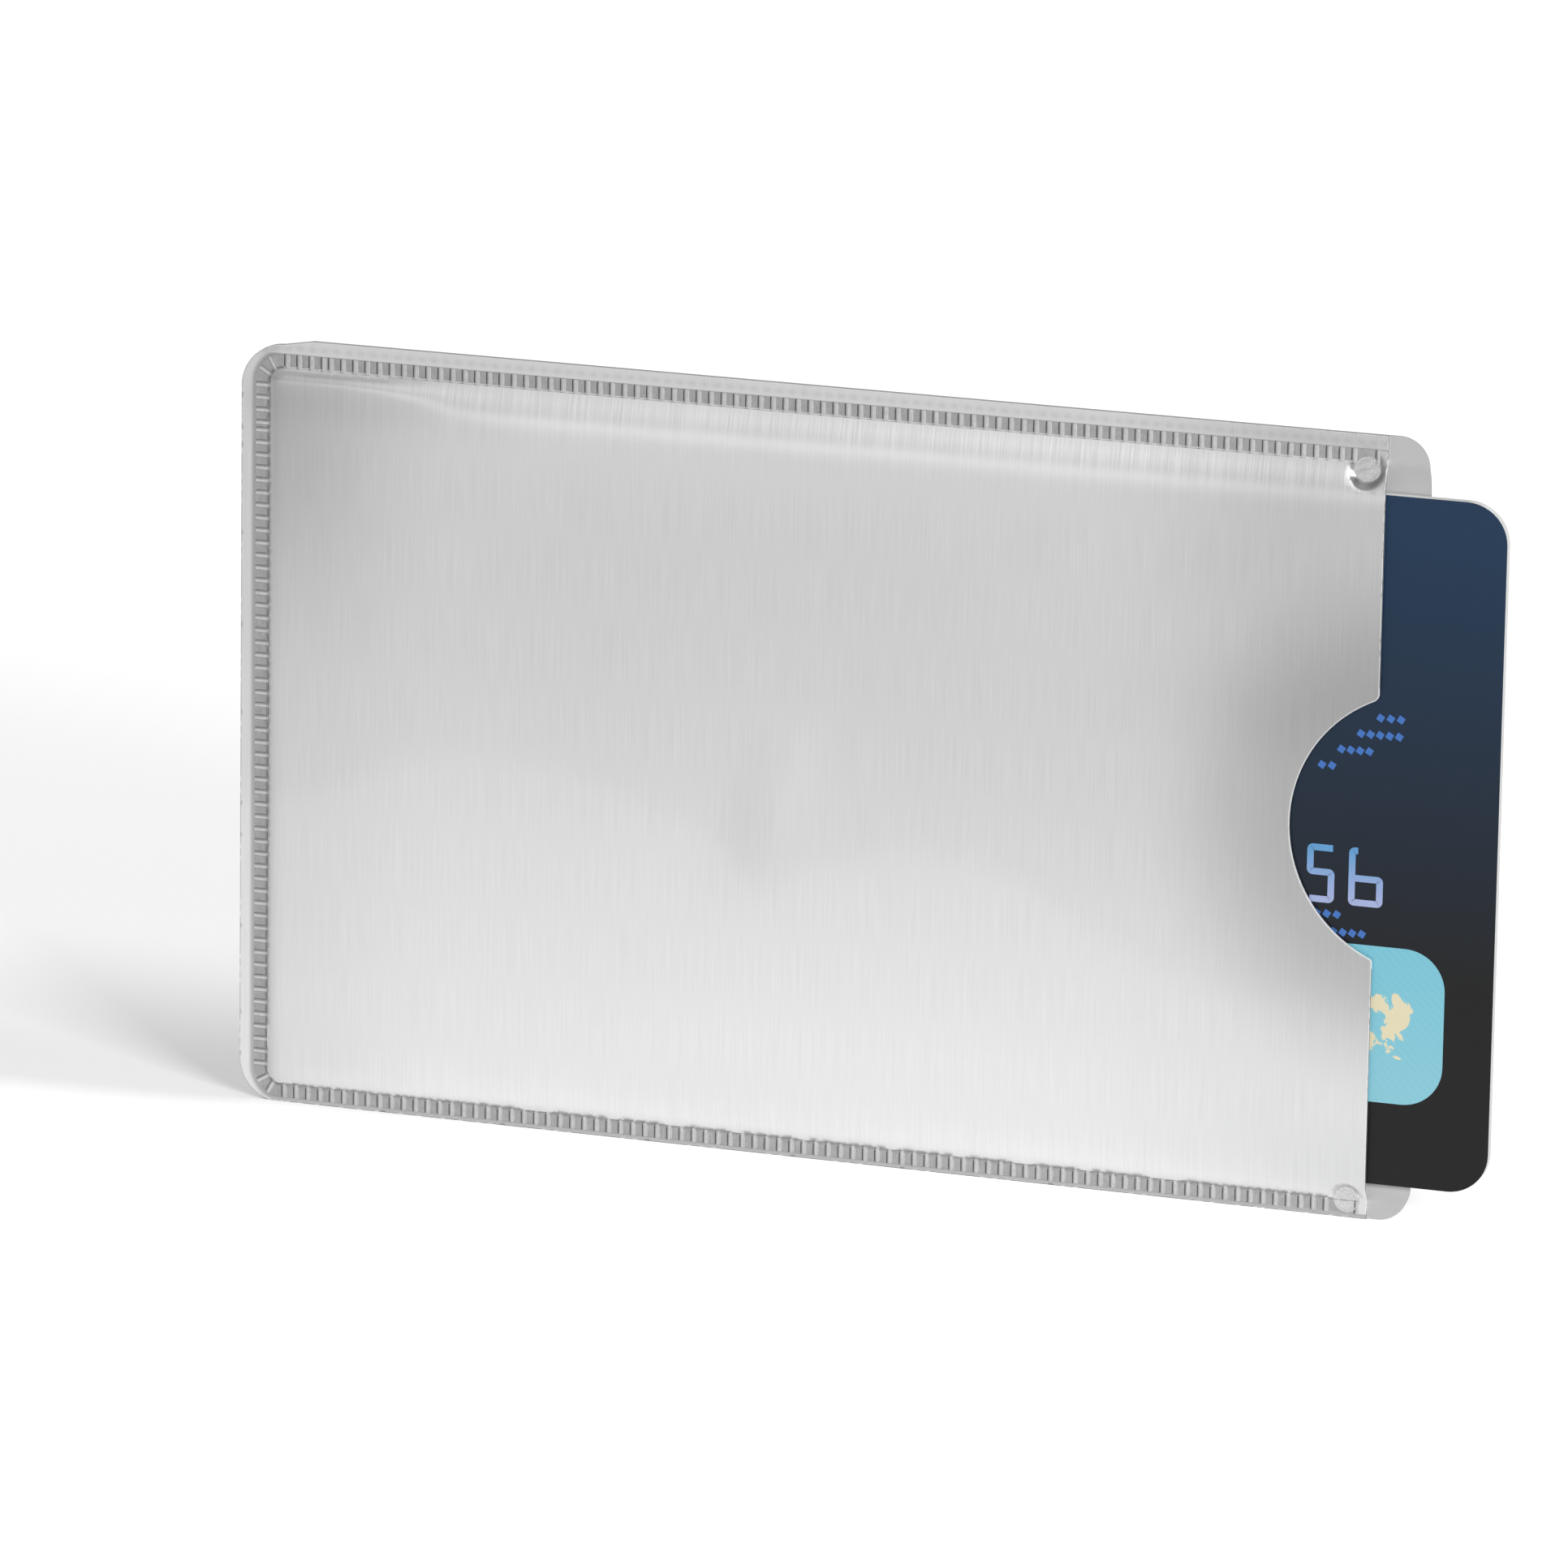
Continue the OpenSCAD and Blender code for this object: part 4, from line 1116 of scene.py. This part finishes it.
# The bead's painted tone: a highlight on the upper weld, plain on the lower one, a shadow at the closed end
welds = {
    "top_weld_seam": strip_object("top_weld_strip", upper_run, STRAIGHT_L, painted_bead_shading=0.85),
    "bottom_weld_seam": strip_object("bottom_weld_strip", lower_run, STRAIGHT_L, painted_bead_shading=0.42),
    "closed_end_weld_seam": strip_object("closed_end_weld_strip", end_run, 2 * BEND_L + END_L,
                                         painted_bead_shading=0.15),
    "top_mouth_weld": round_weld("top_mouth_weld_domed", SPOTS[1], dome=0.06, wrinkle=0.09, seed=4),
    "bottom_mouth_weld": round_weld("bottom_mouth_weld_stippled", SPOTS[0], dome=0.015, wrinkle=0.02,
                                    seed=9),
}
for node, piece in welds.items():
    piece.data.materials.append(SPOT_WELD if "mouth" in node else WELD)
    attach(piece, "sleeve")
    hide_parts(node)

ribs = grown("weld_ribs", rib_lines(), PRESS_FLOOR + FLOOR_OVER, rib_tree(), RIB,
             {"Half width": RIB_HALF_W * MM, "Height": (RIB_OVER - FLOOR_OVER) * MM})
ribs.data.shade_smooth()
ribs.data.set_sharp_from_angle(angle=WELD_SHARP)
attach(ribs, "sleeve")

# Card print

PRINT_DEPTH = CARD_FACE + PRINT_T / 2
digits = grown("card_numbers", row_lines(), PRINT_DEPTH, stroke_tree(), NUMBER_INK,
               {"Width": DIGIT_STROKE * MM, "Thickness": PRINT_T * MM})
squares = grown("card_squares", square_lines(), PRINT_DEPTH, squares_tree(), BLUE_INK,
                {"Thickness": PRINT_T * MM})
for piece in (digits, squares):
    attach(piece, "card")

# Finishes of the nodes that stay

NODE_MATERIALS = {
    "card_front_sheet": CARD_PRINT, "card_back_sheet": CARD_PRINT,
    "card_front_core": CARD_CORE, "card_inlay": CARD_CORE, "card_back_core": CARD_CORE,
    "antenna_coil": COPPER, "chip_module": RESIN, "contact_plate": GOLD,
    "emblem_foil": EMBLEM, "magnetic_stripe": STRIPE, "signature_panel": SIGNATURE,
}
for node, material in NODE_MATERIALS.items():
    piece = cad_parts[node]
    piece.data.materials.clear()
    piece.data.materials.append(material)

# Camera at the photograph's viewing angle

CAMERA_AT = Vector((259.6, -807.7, 251.0)) * MM
CAMERA_TARGET = Vector((-6.1, 0.0, 29.76)) * MM
CAMERA_ROLL = math.radians(0.90)
CAMERA_LENS, SENSOR = 261.6, 36.0

forward = (CAMERA_TARGET - CAMERA_AT).normalized()
level = forward.cross(Vector((0, 0, 1))).normalized()
upright = level.cross(forward)
right = level * math.cos(CAMERA_ROLL) + upright * math.sin(CAMERA_ROLL)
up = upright * math.cos(CAMERA_ROLL) - level * math.sin(CAMERA_ROLL)
camera_data = bpy.data.cameras.new("camera")
camera_data.lens = CAMERA_LENS
camera_data.sensor_width = SENSOR
camera_data.clip_start, camera_data.clip_end = 0.01, 20
camera = scene_object("camera", camera_data)
camera.matrix_world = Matrix.Translation(CAMERA_AT) @ Matrix((right, up, -forward)).transposed().to_4x4()
bpy.context.scene.camera = camera

# Floor, world and lamps, in metres

FLOOR_HALF, FLOOR_DROP = 3.0, 1e-5
KEY_AT, KEY_LOOK_AT, KEY_SIZE, KEY_POWER = (0.7, -0.62, 0.3), (0, 0, 0.03), (0.34, 0.26), 8.5
TOP_AT, TOP_LOOK_AT, TOP_SIZE, TOP_POWER = (0.1, -0.15, 0.9), (0, 0, 0), (0.7, 0.5), 0.6
# Light of the room on the object, and the room as the object mirrors it
FILL_LEVEL, SKY_LEVEL = 0.3, 0.44
# Light of the table as the object mirrors it: everywhere, and more of it far in front
NEAR_GLOW, FAR_GLOW = 0.27, 0.77
# Table as written and as the camera sees it, and the grey room past its front edge
TABLE_WHITE, TABLE_SEEN_WHITE, ROOM_GREY, ROOM_SEEN = 0.88, 1.0, 0.5, 0.3
TABLE_EDGE_Y, TABLE_EDGE_TURN, TABLE_EDGE_SOFT = -0.095, 0.35, 0.02
# Light that the camera sees on the table besides the lamps', from the front to the back; its dip at the
# object's foot, deepest at the closed end, is a painted shadow
SEEN_FRONT, SEEN_CLOSED_END, SEEN_MOUTH, SEEN_BEHIND, SEEN_BACK = 0.4, 0.24, 0.42, 0.54, 0.6


def seen_light(tree, x, y, on_table):
    """Light that the camera sees on the floor at a place. It is least at the object's foot, as a painted
    shadow.
    """
    foot = calc(tree, "MULTIPLY_ADD", between(tree, x, -0.045, 0.0), SEEN_MOUTH - SEEN_CLOSED_END,
                SEEN_CLOSED_END)
    seen = tint(tree, between(tree, y, -0.006, 0.0), grey(SEEN_FRONT), foot)
    seen = tint(tree, between(tree, y, 0.005, 0.045), seen, grey(SEEN_BEHIND))
    seen = calc(tree, "MULTIPLY_ADD", between(tree, y, 0.045, 0.2), SEEN_BACK - SEEN_BEHIND, seen)
    return calc(tree, "MULTIPLY_ADD", rest_of(tree, on_table), ROOM_SEEN, seen)


def floor_material():
    """White table that runs into a grey room in front. It shows white, with the object's shadow."""
    material = bpy.data.materials.new("table_top")
    material.use_nodes = True
    tree = material.node_tree
    tree.nodes.remove(tree.nodes["Principled BSDF"])
    at = place(tree, "ShaderNodeTexCoord").outputs["Object"]
    rays = place(tree, "ShaderNodeLightPath").outputs
    x, y, _ = split(tree, at)
    edge = calc(tree, "SUBTRACT", y, calc(tree, "MULTIPLY", x, TABLE_EDGE_TURN))
    on_table = between(tree, edge, TABLE_EDGE_Y - TABLE_EDGE_SOFT, TABLE_EDGE_Y + TABLE_EDGE_SOFT)
    cloud = use_group(tree, CLOUD, {"Place": at, "Size mm": 60.0, "Contrast": 0.02})
    white = calc(tree, "MULTIPLY_ADD", rays["Is Camera Ray"], TABLE_SEEN_WHITE - TABLE_WHITE, TABLE_WHITE)
    colour = shaded(tree, tint(tree, on_table, grey(ROOM_GREY), white), cloud["Shade"])
    lit = place(tree, "ShaderNodeBsdfDiffuse", {"Color": colour}).outputs[0]
    seen = calc(tree, "MULTIPLY", rays["Is Camera Ray"], seen_light(tree, x, y, on_table))
    mirrors = calc(tree, "MAXIMUM", rays["Is Glossy Ray"], rays["Is Transmission Ray"])
    far = rest_of(tree, between(tree, y, -0.9, -0.35))
    mirrored = calc(tree, "MULTIPLY", mirrors, calc(tree, "MULTIPLY_ADD", far, FAR_GLOW, NEAR_GLOW))
    glow = place(tree, "ShaderNodeEmission",
                 {"Color": grey(1), "Strength": calc(tree, "ADD", seen, mirrored)}).outputs[0]
    both = place(tree, "ShaderNodeAddShader", {0: lit, 1: glow}).outputs[0]
    tree.links.new(both, tree.nodes["Material Output"].inputs["Surface"])
    return material


floor_corners = [(x, y, -FLOOR_DROP) for x, y in ((-1, -1), (1, -1), (1, 1), (-1, 1))]
floor_mesh = bpy.data.meshes.new("floor")
floor_mesh.from_pydata([(x * FLOOR_HALF, y * FLOOR_HALF, z) for x, y, z in floor_corners], [],
                       [(0, 1, 2, 3)])
floor_mesh.materials.append(floor_material())
floor = scene_object("floor", floor_mesh)

world = bpy.data.worlds.new("studio")
bpy.context.scene.world = world
world.use_nodes = True
tree = world.node_tree
rays = place(tree, "ShaderNodeLightPath").outputs
mirrors = calc(tree, "MAXIMUM", rays["Is Glossy Ray"], rays["Is Transmission Ray"])
strength = calc(tree, "ADD", FILL_LEVEL, calc(tree, "MULTIPLY", mirrors, SKY_LEVEL - FILL_LEVEL))
strength = calc(tree, "MAXIMUM", strength, rays["Is Camera Ray"])
background = tree.nodes["Background"]
background.inputs["Color"].default_value = grey(1)
tree.links.new(strength, background.inputs["Strength"])


def lamp(name, at, look_at, size, power):
    """Soft square lamp."""
    data = bpy.data.lights.new(name, "AREA")
    data.shape = "RECTANGLE"
    data.size, data.size_y = size
    data.energy = power
    light = scene_object(name, data)
    light.location = at
    light.rotation_euler = (Vector(look_at) - Vector(at)).to_track_quat("-Z", "Y").to_euler()


lamp("key", KEY_AT, KEY_LOOK_AT, KEY_SIZE, KEY_POWER)
lamp("top", TOP_AT, TOP_LOOK_AT, TOP_SIZE, TOP_POWER)

bpy.context.scene.view_settings.view_transform = "Standard"
